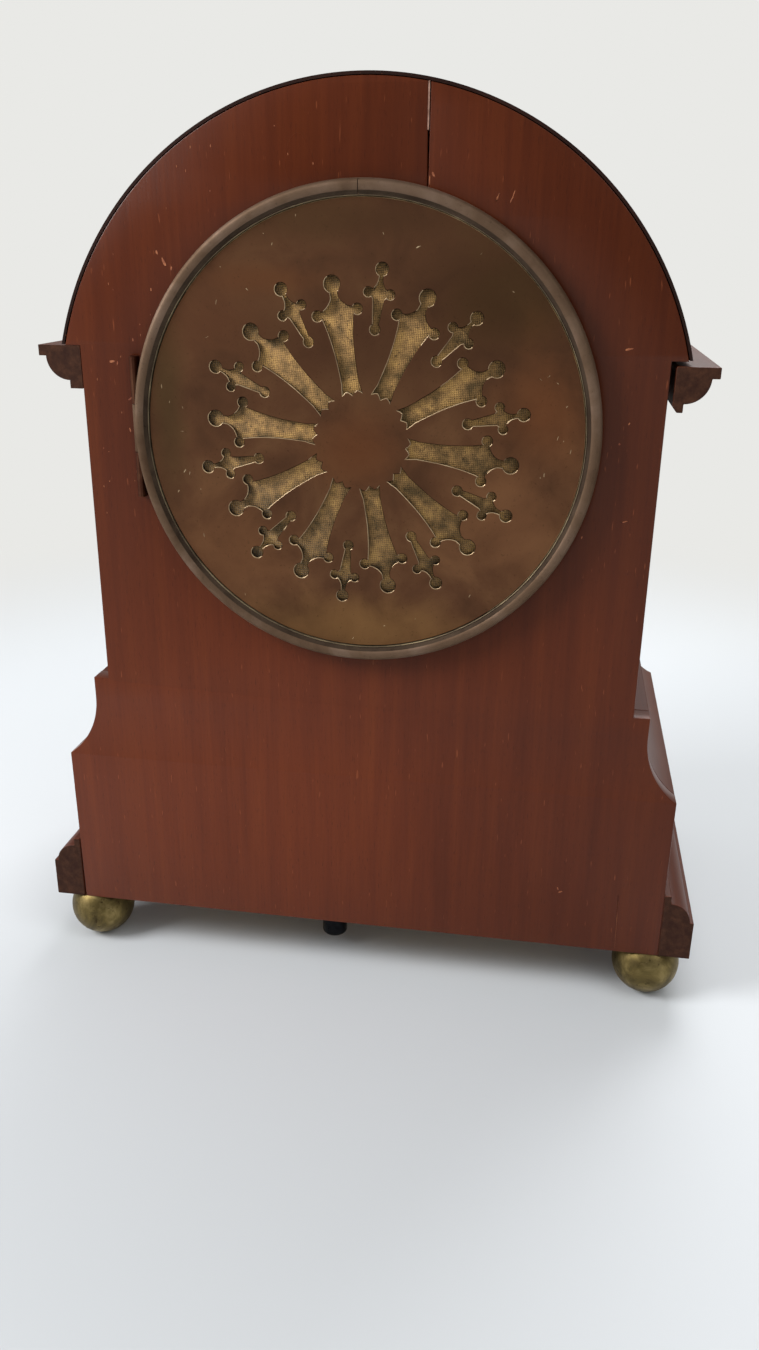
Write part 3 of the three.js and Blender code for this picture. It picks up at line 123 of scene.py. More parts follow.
def makeStudio():
    world = bpy.data.worlds.new("studio")
    world.use_nodes = True
    bpy.context.scene.world = world
    tree = world.node_tree
    path = addNode(tree, "LightPath")
    seen = addNode(tree, "Math", {0: path.outputs["Is Camera Ray"], 1: path.outputs["Is Transmission Ray"]},
                   operation="MAXIMUM")
    heading = addNode(tree, "SeparateXYZ", {0: addNode(tree, "TexCoord").outputs["Generated"]})
    mirrored = addNode(tree, "MapRange", {0: heading.outputs["Y"], 1: -0.2, 2: 0.4,
                                          3: studio["brightSide"], 4: studio["darkSide"]})
    glossy = addNode(tree, "Mix", {0: path.outputs["Is Glossy Ray"], 2: studio["skyLight"],
                                   3: mirrored.outputs[0]})
    strength = addNode(tree, "Mix", {0: seen.outputs[0], 2: glossy.outputs[0], 3: 1.0})
    background = tree.nodes["Background"]
    background.inputs["Color"].default_value = linear(studio["backdrop"])
    tree.links.new(strength.outputs[0], background.inputs["Strength"])

    bm = bmesh.new()
    bmesh.ops.create_circle(bm, cap_ends=True, segments=96, radius=studio["floorSize"])
    mesh = bpy.data.meshes.new("floor")
    bm.to_mesh(mesh)
    bm.free()
    floor = bpy.data.objects.new("floor", mesh)
    bpy.context.scene.collection.objects.link(floor)
    material, tree, shader = newMaterial("floorPaleMatt", {
        "Base Color": linear(studio["floor"]), "Roughness": 0.6})
    # far from the clock the floor turns into the backdrop, so that no edge or horizon shows
    coords = addNode(tree, "TexCoord")
    distance = addNode(tree, "VectorMath", {0: coords.outputs["Object"]}, operation="LENGTH")
    fade = addNode(tree, "MapRange", {0: distance.outputs["Value"], 1: studio["fadeFrom"],
                                      2: studio["fadeTo"]}, interpolation_type="SMOOTHSTEP")
    glow = addNode(tree, "Emission", {"Color": linear(studio["backdrop"])})
    mixed = addNode(tree, "MixShader", {0: fade.outputs[0], 1: shader.outputs[0], 2: glow.outputs[0]})
    tree.links.new(mixed.outputs[0], tree.nodes["Material Output"].inputs["Surface"])
    mesh.materials.append(material)

    for name in ("key", "fill", "front"):
        spot, power, size = studio[name]
        lamp = bpy.data.lights.new(name, "AREA")
        lamp.energy = power
        lamp.size = size
        lamp.use_shadow = True
        light = bpy.data.objects.new(name, lamp)
        light.location = Vector(spot) * mm
        aim = Vector(studio["middle"]) * mm - light.location
        light.rotation_euler = aim.to_track_quat("-Z", "Y").to_euler()
        bpy.context.scene.collection.objects.link(light)


makeStudio()
print("stage: camera, floor and light")

# Finishes

mahogany = {
    "dark": "4e210f", "mid": "542410", "light": "5a2811", "pore": "33140a", "fleck": "8a4a2c",
    "figure": 5.88, "line": 0.833, "pores": 0.3, "broad": 55.6, "flecks": 0.769,  # widths in mm
    # painted light: paler towards the foot, where the floor lights the board, and painted shade: darker
    # towards −X, away from the light; places in mm
    "paintedFloorLight": 1.3, "floorLightFrom": 190, "floorLightTo": 60, "paintedSideShade": 0.78, "sideShadeFrom": 30, "sideShadeTo": -90,
    "endDark": "301a12", "endMid": "3a2217", "endLight": "482c1e", "rings": 2.38, "openPores": 0.667,
}


# French polished mahogany: a red-brown wood with straight grain, short dark pores and a soft gloss
def polishedMahogany(name, grain="Z", darker=0.0, rough=0.32, gloss=0.2, paintedLight=False):
    material, tree, shader = newMaterial(name, {"IOR": 1.5, "Specular IOR Level": gloss})
    coords = addNode(tree, "TexCoord").outputs["Object"]
    long = {"X": 0, "Y": 1, "Z": 2}[grain]

    def stretched(along):
        scale = [1, 1, 1]
        scale[long] = along
        return addNode(tree, "Mapping", {0: coords, "Scale": scale}).outputs[0]

    figure = addNode(tree, "TexNoise", {"Vector": stretched(0.05), "Scale": perMetre(mahogany["figure"]),
                                        "Detail": 5, "Roughness": 0.62, "Distortion": 0.4})
    colour = addNode(tree, "ValToRGB", {0: figure.outputs[0]}, stops=[
        (0.32, mahogany["dark"]), (0.7, mahogany["light"]), (0.5, mahogany["mid"])]).outputs[0]
    line = addNode(tree, "TexNoise", {"Vector": stretched(0.03), "Scale": perMetre(mahogany["line"]),
                                      "Detail": 3})
    lineTone = addNode(tree, "MapRange", {0: line.outputs[0], 1: 0.3, 2: 0.7, 3: 0.94, 4: 1.06})
    broad = addNode(tree, "TexNoise", {"Vector": stretched(0.6), "Scale": perMetre(mahogany["broad"]),
                                       "Detail": 2})
    broadTone = addNode(tree, "MapRange", {0: broad.outputs[0], 1: 0.3, 2: 0.7, 3: 0.92 - darker,
                                           4: 1.08 - darker})
    tone = addNode(tree, "Math", {0: lineTone.outputs[0], 1: broadTone.outputs[0]}, operation="MULTIPLY")
    # painted light and shade: the tone is made paler towards the foot and darker towards −X
    if paintedLight:
        at = addNode(tree, "SeparateXYZ", {0: coords}).outputs
        for axis, start, end, low, high in (
                ("Z", mahogany["floorLightTo"], mahogany["floorLightFrom"], mahogany["paintedFloorLight"], 1.0),
                ("X", mahogany["sideShadeTo"], mahogany["sideShadeFrom"], mahogany["paintedSideShade"], 1.0)):
            shade = addNode(tree, "MapRange", {0: at[axis], 1: start * mm, 2: end * mm, 3: low, 4: high},
                            interpolation_type="SMOOTHSTEP")
            tone = addNode(tree, "Math", {0: tone.outputs[0], 1: shade.outputs[0]}, operation="MULTIPLY")
    colour = addNode(tree, "Mix", {0: 1.0, 6: colour, 7: tone.outputs[0]}, data_type="RGBA",
                     blend_type="MULTIPLY").outputs[2]
    pore = addNode(tree, "TexNoise", {"Vector": stretched(0.1), "Scale": perMetre(mahogany["pores"]),
                                      "Detail": 1})
    poreMask = addNode(tree, "MapRange", {0: pore.outputs[0], 1: 0.64, 2: 0.72, 4: 0.45})
    colour = addNode(tree, "Mix", {0: poreMask.outputs[0], 6: colour, 7: linear(mahogany["pore"])},
                     data_type="RGBA").outputs[2]
    fleck = addNode(tree, "TexNoise", {"Vector": stretched(0.16), "Scale": perMetre(mahogany["flecks"]),
                                       "Detail": 1, "W": 3.0}, noise_dimensions="4D")
    fleckMask = addNode(tree, "MapRange", {0: fleck.outputs[0], 1: 0.71, 2: 0.77, 4: 0.45})
    colour = addNode(tree, "Mix", {0: fleckMask.outputs[0], 6: colour, 7: linear(mahogany["fleck"])},
                     data_type="RGBA").outputs[2]
    tree.links.new(colour, shader.inputs["Base Color"])
    sheen = addNode(tree, "MapRange", {0: broad.outputs[0], 1: 0.3, 2: 0.7, 3: rough - 0.05, 4: rough + 0.06})
    tree.links.new(sheen.outputs[0], shader.inputs["Roughness"])
    relief = addNode(tree, "Math", {0: line.outputs[0], 1: poreMask.outputs[0]}, operation="SUBTRACT")
    bump = addNode(tree, "Bump", {"Height": relief.outputs[0], "Strength": 0.1, "Distance": 0.0002})
    tree.links.new(bump.outputs[0], shader.inputs["Normal"])
    return material


# Mahogany end grain: darker, because it drinks the polish, and full of open pores
def endGrain(name):
    material, tree, shader = newMaterial(name, {"Roughness": 0.6, "Specular IOR Level": 0.12})
    coords = addNode(tree, "TexCoord").outputs["Object"]
    clouds = addNode(tree, "TexNoise", {"Vector": coords, "Scale": perMetre(mahogany["rings"]), "Detail": 5,
                                        "Roughness": 0.65})
    colour = addNode(tree, "ValToRGB", {0: clouds.outputs[0]}, stops=[
        (0.34, mahogany["endDark"]), (0.68, mahogany["endLight"]), (0.5, mahogany["endMid"])])
    pores = addNode(tree, "TexVoronoi", {"Vector": coords, "Scale": perMetre(mahogany["openPores"])})
    mask = addNode(tree, "MapRange", {0: pores.outputs["Distance"], 1: 0.12, 2: 0.22, 3: 0.7, 4: 0.0})
    colour = addNode(tree, "Mix", {0: mask.outputs[0], 6: colour.outputs[0], 7: linear(mahogany["pore"])},
                     data_type="RGBA")
    tree.links.new(colour.outputs[2], shader.inputs["Base Color"])
    bump = addNode(tree, "Bump", {"Height": clouds.outputs[0], "Strength": 0.3, "Distance": 0.0002})
    tree.links.new(bump.outputs[0], shader.inputs["Normal"])
    return material


# A metal with a mottled surface: three tones in clouds, and darker specks, both of a size in mm
def agedMetal(name, tones, rough, cloud, speck, speckColour="1a1410", speckAmount=0.5, metallic=1.0):
    material, tree, shader = newMaterial(name, {"Metallic": metallic})
    coords = addNode(tree, "TexCoord").outputs["Object"]
    clouds = addNode(tree, "TexNoise", {"Vector": coords, "Scale": perMetre(cloud), "Detail": 5,
                                        "Roughness": 0.6, "Distortion": 0.6})
    colour = addNode(tree, "ValToRGB", {0: clouds.outputs[0]}, stops=[
        (0.34, tones[0]), (0.68, tones[2]), (0.5, tones[1])]).outputs[0]
    specks = addNode(tree, "TexNoise", {"Vector": coords, "Scale": perMetre(speck), "Detail": 3,
                                        "Roughness": 0.7})
    mask = addNode(tree, "MapRange", {0: specks.outputs[0], 1: 0.6, 2: 0.72, 4: speckAmount})
    colour = addNode(tree, "Mix", {0: mask.outputs[0], 6: colour, 7: linear(speckColour)}, data_type="RGBA")
    tree.links.new(colour.outputs[2], shader.inputs["Base Color"])
    gloss = addNode(tree, "MapRange", {0: clouds.outputs[0], 1: 0.3, 2: 0.7, 3: rough[1], 4: rough[0]})
    tree.links.new(gloss.outputs[0], shader.inputs["Roughness"])
    bump = addNode(tree, "Bump", {"Height": specks.outputs[0], "Strength": 0.3, "Distance": 0.00003})
    tree.links.new(bump.outputs[0], shader.inputs["Normal"])
    return material


# the back board carries painted light towards its foot and painted shade towards −X
woodBoard = polishedMahogany("mahoganyBoardFrenchPolished", paintedLight=True)
woodSide = polishedMahogany("mahoganySideFrenchPolished", darker=0.05)
woodMouldingY = polishedMahogany("mahoganyMouldingAlongY", grain="Y", darker=0.1, rough=0.42)
woodMouldingX = polishedMahogany("mahoganyMouldingAlongX", grain="X", darker=0.1, rough=0.42)
darkVeneer = polishedMahogany("veneerEdgeEbonised", grain="Y", darker=0.8, rough=0.5)
woodEnd = endGrain("mahoganyEndGrain")
# the bright edge tones are a painted highlight on the edges facing the light; the same finish marks the real
# scratches
plateEdgeWearAndHighlight = agedMetal("brassRubbedEdgeAndPaintedHighlight", ("8a7256", "a88e6c", "c0a884"), (0.4, 0.55), 5, 0.667,
                      speckAmount=0.3, metallic=0.5)
# dark patina in the piercings' walls, and painted shade on the edges turned away from the light
plateWallPatinaAndShade = agedMetal("brassPiercedWallPatinaAndShade", ("2c1e14", "3c2a1c", "4c3622"), (0.5, 0.6), 5, 0.667)
beadBrass = agedMetal("brassBeadRubbedPatina", ("66503f", "755f4d", "867060"), (0.66, 0.78), 22.2, 1,
                      speckAmount=0.25)
beadInner = agedMetal("brassBeadBrownPatina", ("4a3c32", "56483c", "625244"), (0.74, 0.84), 16.7, 0.833)
# the lip's pale tones are a painted highlight along the edge beside the fret
beadLipHighlight = agedMetal("brassLipPaintedHighlight", ("524636", "786a52", "a09070"), (0.5, 0.65), 11.1, 1.43,
                    metallic=0.6)
footBrass = agedMetal("brassBallTarnished", ("564a30", "76663f", "a28e5e"), (0.38, 0.55), 9.09, 2.38,
                      speckColour="35281c", speckAmount=0.85)
# the hinge takes the wood's dark tone as painted shade, for the shadow strip beside the door ring
hingeShadeTone = agedMetal("brassHingePaintedShade", ("46291e", "523226", "60402f"), (0.5, 0.6), 11.1, 0.909)
brightBrass = agedMetal("brassLacquered", ("9a7a3c", "b8944c", "c8a45c"), (0.22, 0.32), 20, 1.11,
                        speckAmount=0.12)
steel = agedMetal("steelPolished", ("787a7e", "909296", "a4a6aa"), (0.22, 0.34), 12.5, 0.833,
                  speckAmount=0.25)
blueSteel = agedMetal("steelBlued", ("141c34", "1c2848", "283860"), (0.22, 0.3), 8.33, 0.833, speckAmount=0.1)
blackIron = agedMetal("ironBlacked", ("0c0c0e", "161618", "242426"), (0.2, 0.32), 6.67, 1.11, speckAmount=0.2)

plate = {
    "dark": "553a2a", "mid": "654531", "light": "75533a", "speck": "281c14",
    "clouds": 18.2, "rolling": 0.625, "specks": 0.769,  # mm
    # the pale stains low on the door and towards −X are partly a painted reflection; the dark ones are patina
    "stainsAndSheen": [  # across and above the middle of the door, half width, half height, colour, amount
        (1, -4, 12, 10, "74452a", 0.5), (-38, 37, 22, 15, "42311f", 0.65), (27, 41, 15, 3.5, "74492f", 0.5),
        (-50, 9, 12, 16, "855233", 0.5), (-44, -20, 20, 18, "8a6042", 0.5), (4, -56, 34, 9, "8c683f", 0.55),
        (36, -34, 18, 14, "82593c", 0.55), (56, 8, 5, 26, "4c3e28", 0.6), (6, 56, 30, 5, "4e3826", 0.5),
        (42, 30, 14, 12, "68432f", 0.5), (2, 24, 26, 9, "4c3326", 0.5)],
}


# Old sheet brass under a brown patina: coppery and dark stains run into each other, with fine rolling lines;
# the pale stains low down and towards −X partly paint in a reflection
def patinaAndSheenPlate(name):
    material, tree, shader = newMaterial(name, {"Metallic": 1.0})
    coords = addNode(tree, "TexCoord").outputs["Object"]
    clouds = addNode(tree, "TexNoise", {"Vector": coords, "Scale": perMetre(plate["clouds"]), "Detail": 5,
                                        "Roughness": 0.55, "Distortion": 0.4})
    colour = addNode(tree, "ValToRGB", {0: clouds.outputs[0]}, stops=[
        (0.3, plate["dark"]), (0.72, plate["light"]), (0.5, plate["mid"])]).outputs[0]
    for x, z, wide, high, code, amount in plate["stainsAndSheen"]:
        moved = addNode(tree, "Mapping", {0: coords, "Scale": (perMetre(wide), 0, perMetre(high)),
                                          "Location": (-x / wide, 0, -(z + dialZ) / high)}).outputs[0]
        reach = addNode(tree, "VectorMath", {0: moved}, operation="LENGTH").outputs["Value"]
        ragged = addNode(tree, "Math", {0: clouds.outputs[0], 1: -1.8, 2: reach},
                         operation="MULTIPLY_ADD").outputs[0]
        mask = addNode(tree, "MapRange", {0: ragged, 1: -0.9, 2: 0.7, 3: amount, 4: 0.0},
                       interpolation_type="SMOOTHSTEP").outputs[0]
        colour = addNode(tree, "Mix", {0: mask, 6: colour, 7: linear(code)}, data_type="RGBA").outputs[2]
    drawn = addNode(tree, "Mapping", {0: coords, "Scale": (0.08, 1, 1)}).outputs[0]
    rolled = addNode(tree, "TexNoise", {"Vector": drawn, "Scale": perMetre(plate["rolling"]), "Detail": 2})
    specks = addNode(tree, "TexNoise", {"Vector": coords, "Scale": perMetre(plate["specks"]), "Detail": 3,
                                        "Roughness": 0.7})
    mask = addNode(tree, "MapRange", {0: specks.outputs[0], 1: 0.62, 2: 0.74, 4: 0.4})
    colour = addNode(tree, "Mix", {0: mask.outputs[0], 6: colour, 7: linear(plate["speck"])},
                     data_type="RGBA")
    tree.links.new(colour.outputs[2], shader.inputs["Base Color"])
    gloss = addNode(tree, "MapRange", {0: clouds.outputs[0], 1: 0.3, 2: 0.7, 3: 0.58, 4: 0.46})
    tree.links.new(gloss.outputs[0], shader.inputs["Roughness"])
    height = addNode(tree, "Math", {0: rolled.outputs[0], 1: specks.outputs[0]}, operation="ADD")
    bump = addNode(tree, "Bump", {"Height": height.outputs[0], "Strength": 0.18, "Distance": 0.00004})
    tree.links.new(bump.outputs[0], shader.inputs["Normal"])
    return material


platePatinaAndSheen = patinaAndSheenPlate("brassSheetPatinaAndSheen")


# Planed pine: pale, dry, with wide soft figure
def planedPine(name):
    material, tree, shader = newMaterial(name, {"Roughness": 0.75})
    coords = addNode(tree, "TexCoord").outputs["Object"]
    mapped = addNode(tree, "Mapping", {0: coords, "Scale": (0.06, 1, 1)}).outputs[0]
    rings = addNode(tree, "TexNoise", {"Vector": mapped, "Scale": perMetre(6.25), "Detail": 4,
                                       "Distortion": 0.5})
    colour = addNode(tree, "ValToRGB", {0: rings.outputs[0]}, stops=[(0.35, "8a6a42"), (0.65, "ac8c60")])
    tree.links.new(colour.outputs[0], shader.inputs["Base Color"])
    bump = addNode(tree, "Bump", {"Height": rings.outputs[0], "Strength": 0.3, "Distance": 0.0002})
    tree.links.new(bump.outputs[0], shader.inputs["Normal"])
    return material


pine = planedPine("pinePlaned")


# Raw wood under lost polish, or old wax in a crack: matt, and uneven in colour
def rawPatch(name, low, high):
    material, tree, shader = newMaterial(name, {"Roughness": 0.7})
    coords = addNode(tree, "TexCoord").outputs["Object"]
    clouds = addNode(tree, "TexNoise", {"Vector": coords, "Scale": perMetre(1.43), "Detail": 3})
    colour = addNode(tree, "ValToRGB", {0: clouds.outputs[0]}, stops=[(0.35, low), (0.65, high)])
    tree.links.new(colour.outputs[0], shader.inputs["Base Color"])
    return material


bareWood = rawPatch("mahoganyBare", "7c3c20", "a8663e")
fillerWax = rawPatch("waxFillerPale", "7a5646", "a07c6c")


# Vitreous enamel: opaque ivory-white glass fired on a metal dial, very smooth
def firedEnamel(name, low, high, rough):
    material, tree, shader = newMaterial(name, {"Roughness": rough, "IOR": 1.52})
    coords = addNode(tree, "TexCoord").outputs["Object"]
    clouds = addNode(tree, "TexNoise", {"Vector": coords, "Scale": perMetre(33.3), "Detail": 4})
    colour = addNode(tree, "ValToRGB", {0: clouds.outputs[0]}, stops=[(0.3, low), (0.7, high)])
    tree.links.new(colour.outputs[0], shader.inputs["Base Color"])
    peel = addNode(tree, "TexNoise", {"Vector": coords, "Scale": perMetre(3.85), "Detail": 1})
    bump = addNode(tree, "Bump", {"Height": peel.outputs[0], "Strength": 0.04, "Distance": 0.0002})
    tree.links.new(bump.outputs[0], shader.inputs["Normal"])
    return material


enamel = firedEnamel("enamelDialIvory", "e6e0cc", "f2eee0", 0.16)
dialInk = firedEnamel("enamelNumeralsBlack", "0c0c10", "18181c", 0.25)

# Polished soda glass, ground to a dome: clear, and shiny on both sides
clearGlass = newMaterial("glassDomedClear", {
    "Base Color": (1, 1, 1, 1), "Roughness": 0.02, "IOR": 1.5, "Transmission Weight": 1.0})[0]

cloth = {
    "light": "b28c54", "mid": "8e6e44", "dark": "5e4a2c", "fleck": "3a2c1c",
    "thread": 0.42, "patches": 5.26, "specks": 0.667, "slant": 38,  # mm and degrees
}


# Woven sound cloth: plain weave of gold thread laid aslant, faded and stained in patches
def wovenCloth(name):
    material, tree, shader = newMaterial(name, {"Roughness": 0.92, "Sheen Weight": 0.15,
                                                "Specular IOR Level": 0.2})
    coords = addNode(tree, "TexCoord").outputs["Object"]
    slanted = addNode(tree, "Mapping", {0: coords, "Rotation": (0, radians(cloth["slant"]), 0)}).outputs[0]
    apart = addNode(tree, "SeparateXYZ", {0: slanted})
    waves = []
    for axis in ("X", "Z"):
        phase = addNode(tree, "Math", {0: apart.outputs[axis], 1: pi * perMetre(cloth["thread"])},
                        operation="MULTIPLY")
        waves.append(addNode(tree, "Math", {0: phase.outputs[0]}, operation="SINE").outputs[0])
    weave = addNode(tree, "Math", {0: waves[0], 1: waves[1]}, operation="MULTIPLY")
    patches = addNode(tree, "TexNoise", {"Vector": coords, "Scale": perMetre(cloth["patches"]), "Detail": 5,
                                         "Roughness": 0.65})
    colour = addNode(tree, "ValToRGB", {0: patches.outputs[0]}, stops=[
        (0.36, cloth["dark"]), (0.64, cloth["light"]), (0.5, cloth["mid"])]).outputs[0]
    weaveTone = addNode(tree, "MapRange", {0: weave.outputs[0], 1: -1.0, 2: 1.0, 3: 0.62, 4: 1.25})
    colour = addNode(tree, "Mix", {0: 1.0, 6: colour, 7: weaveTone.outputs[0]}, data_type="RGBA",
                     blend_type="MULTIPLY").outputs[2]
    fleck = addNode(tree, "TexNoise", {"Vector": slanted, "Scale": perMetre(cloth["specks"]), "Detail": 2})
    mask = addNode(tree, "MapRange", {0: fleck.outputs[0], 1: 0.62, 2: 0.68, 4: 0.7})
    colour = addNode(tree, "Mix", {0: mask.outputs[0], 6: colour, 7: linear(cloth["fleck"])},
                     data_type="RGBA")
    tree.links.new(colour.outputs[2], shader.inputs["Base Color"])
    bump = addNode(tree, "Bump", {"Height": weave.outputs[0], "Strength": 0.7, "Distance": 0.0001})
    tree.links.new(bump.outputs[0], shader.inputs["Normal"])
    return material


soundCloth = wovenCloth("clothWovenGold")
print("stage: finishes")

# Making pieces


# points on an arc, and on a curve with one handle
def arc(cx, cy, radius, start, end, steps):
    angles = (start + (end - start) * i / steps for i in range(steps + 1))
    return [(cx + radius * cos(a), cy + radius * sin(a)) for a in angles]


def quadratic(a, b, c, steps):
    return [((1 - t) ** 2 * a[0] + 2 * t * (1 - t) * b[0] + t * t * c[0],
             (1 - t) ** 2 * a[1] + 2 * t * (1 - t) * b[1] + t * t * c[1])
            for t in (i / steps for i in range(1, steps + 1))]


def piece(name, bm, materials, body, replaced=(), smooth=35, pick=None):
    mesh = bpy.data.meshes.new(name)
    bm.to_mesh(mesh)
    bm.free()
    mesh.transform(Matrix.Scale(mm, 4))
    made = bpy.data.objects.new(name, mesh)
    bpy.context.scene.collection.objects.link(made)
    for material in materials:
        mesh.materials.append(material)
    for face in mesh.polygons:
        face.use_smooth = True
        if pick:
            face.material_index = pick(face)
    mesh.set_sharp_from_angle(angle=radians(smooth))
    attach(made, body)
    if replaced:
        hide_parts(*replaced)
    return made


# a flat piece cut from a sheet: outlines across X and Z, between two depths, with its edges eased
def sawn(loops, y0, y1, eased=0.0, lift=0.0, rounds=0):
    data = bpy.data.curves.new("outline", "CURVE")
    data.dimensions = "2D"
    data.fill_mode = "BOTH"
    data.extrude = (y1 - y0) / 2 - eased
    data.bevel_depth = eased
    data.offset = -eased
    data.bevel_resolution = rounds
    for loop in loops:
        line = data.splines.new("POLY")
        line.points.add(len(loop) - 1)
        line.use_cyclic_u = True
        for point, (x, z) in zip(line.points, loop):
            point.co = (x, z, 0, 1)
    holder = bpy.data.objects.new("outline", data)
    bpy.context.scene.collection.objects.link(holder)
    bpy.context.view_layer.update()
    mesh = bpy.data.meshes.new_from_object(holder.evaluated_get(bpy.context.evaluated_depsgraph_get()))
    bm = bmesh.new()
    bm.from_mesh(mesh)
    bpy.data.objects.remove(holder)
    bpy.data.meshes.remove(mesh)
    bmesh.ops.remove_doubles(bm, verts=bm.verts, dist=1e-4)
    bmesh.ops.transform(bm, verts=bm.verts, matrix=Matrix.Translation((0, (y0 + y1) / 2, lift))
                        @ Matrix.Rotation(pi / 2, 4, "X"))
    bmesh.ops.recalc_face_normals(bm, faces=bm.faces)
    return bm


# a turned piece: a closed outline of radius and depth, spun about the Y axis, or about Z
def turned(outline, steps, axis="Y", at=(0, 0, 0)):
    bm = bmesh.new()
    points = [(r, h, 0) if axis == "Y" else (r, 0, h) for r, h in outline]
    ring = [bm.verts.new(p) for p in points]
    edges = [bm.edges.new((ring[i - 1], ring[i])) for i in range(len(ring))]
    around = (0, 1, 0) if axis == "Y" else (0, 0, 1)
    bmesh.ops.spin(bm, geom=ring + edges, cent=(0, 0, 0), axis=around, angle=2 * pi, steps=steps,
                   use_merge=True)
    bmesh.ops.remove_doubles(bm, verts=bm.verts, dist=1e-4)
    bmesh.ops.dissolve_degenerate(bm, edges=bm.edges, dist=1e-5)
    bmesh.ops.translate(bm, verts=bm.verts, vec=at)
    bmesh.ops.recalc_face_normals(bm, faces=bm.faces)
    return bm


def boxShape(x0, x1, y0, y1, z0, z1):
    bm = bmesh.new()
    middle = Matrix.Translation(((x0 + x1) / 2, (y0 + y1) / 2, (z0 + z1) / 2))
    bmesh.ops.create_cube(bm, size=1, matrix=middle @ Matrix.Diagonal((x1 - x0, y1 - y0, z1 - z0, 1)))
    return bm


# a pin, a foot or a hinge knuckle: a cylinder along Z
def knuckleAt(x, y, radius, z0, z1):
    bm = bmesh.new()
    bmesh.ops.create_cone(bm, cap_ends=True, segments=24, radius1=radius, radius2=radius, depth=z1 - z0,
                          matrix=Matrix.Translation((x, y, (z0 + z1) / 2)))
    return bm


# the first solid with the others taken away from it, or added to it
def carved(bm, tools, operation="DIFFERENCE"):
    holders = []
    for shape in (bm, *tools):
        mesh = bpy.data.meshes.new("carved")
        shape.to_mesh(mesh)
        shape.free()
        holders.append(bpy.data.objects.new("carved", mesh))
        bpy.context.scene.collection.objects.link(holders[-1])
    for tool in holders[1:]:
        cutter = holders[0].modifiers.new("cut", "BOOLEAN")
        cutter.operation = operation
        cutter.solver = "EXACT"
        cutter.object = tool
    bpy.context.view_layer.update()
    mesh = bpy.data.meshes.new_from_object(holders[0].evaluated_get(bpy.context.evaluated_depsgraph_get()))
    result = bmesh.new()
    result.from_mesh(mesh)
    for holder in holders:
        bpy.data.objects.remove(holder)
    return result


def dress(name, material):
    data = nodes[name].data
    data.materials.clear()
    data.materials.append(material)


# Case

door = {
    "radius": 66.15, "bead": 4.3, "y": 60.6, "crest": 64.4, "ringBore": 58.5, "ringOuter": 60.0,
    "flange": 65.15, "flangeY": 60.3, "tailY": 49.6, "shelfY": 61.4, "inner": 59.0, "skirt": 58.1,
    "skirtIn": 57.0, "skirtY": 58.3, "hingeX": 66.0, "hingeY": 61.0, "hingeHalf": 20.0, "knuckle": 1.1,
    "steps": 192,
}
case = {
    "archRadius": 89.75, "archCentre": 181.3, "spring": 203.5, "eased": 0.35, "archSteps": 120,
    "plinthProud": 15.5, "plinthTop": 101, "ledge": 4.9, "ledgeZ": 94, "cove": 25.4, "coveSteps": 28,
    "bezelHole": 52.3, "ringHole": 60.3, "crackX": -16.4, "crackEnd": 243,
    # the board has shrunk away from the base moulding on one side
    "shrunkLow": 0.45, "shrunkHigh": 0.25,
}
base = {"proud": 10, "height": 22.5, "block": 13.4, "fillet": 2.2, "ovolo": 6.5}


def archLine(radius, centre, start, steps):
    angle = asin((start - centre) / radius)
    return arc(0, centre, radius, angle, pi - angle, steps)


def coveLine():
    cove, ledge = case["cove"], case["ledge"]
    end = 2 * pi - acos((case["plinthProud"] - ledge - cove) / cove)
    return arc(ledge + cove, case["ledgeZ"], cove, pi, end, case["coveSteps"])


def circleLine(x, z, radius, steps):
    return arc(x, z, radius, 0, 2 * pi, steps)[:-1]


# the arch with a shrinkage crack that runs down from its top edge behind the door
def crackedArch():
    line = archLine(case["archRadius"], case["archCentre"], case["spring"], case["archSteps"])
    x = case["crackX"]
    right = [p for p in line if p[0] > x + 0.4]
    left = [p for p in line if p[0] < x - 0.4]
    top = case["archCentre"] + sqrt(case["archRadius"] ** 2 - x * x)
    crack = [(x + 0.38, top), (x + 0.3, top - 6), (x + 0.3, top - 11), (x + 0.14, top - 20),
             (x - 0.02, case["crackEnd"]), (x - 0.16, top - 20), (x - 0.2, top - 12), (x - 0.22, top - 6),
             (x - 0.26, top)]
    return right + crack + left


def backBoardLine():
    rise = [(half + case["plinthProud"], underside), *[(half + p, h) for p, h in reversed(coveLine())],
            (half + case["ledge"], case["plinthTop"]), (half, case["plinthTop"]), (half, case["spring"])]
    left = [(-x, z) for x, z in reversed(rise)]
    corner, joint = rise[0][0], underside + base["height"]
    shrunk = [(corner - case["shrunkLow"], underside), (corner - case["shrunkHigh"], joint)]
    return shrunk + rise[1:] + crackedArch() + left


piece("backBoard", sawn([backBoardLine(), circleLine(0, dialZ, case["ringHole"], 128)],
                        innerBackY, backY, case["eased"], rounds=1),
      [woodBoard], "case", ["back_board"])

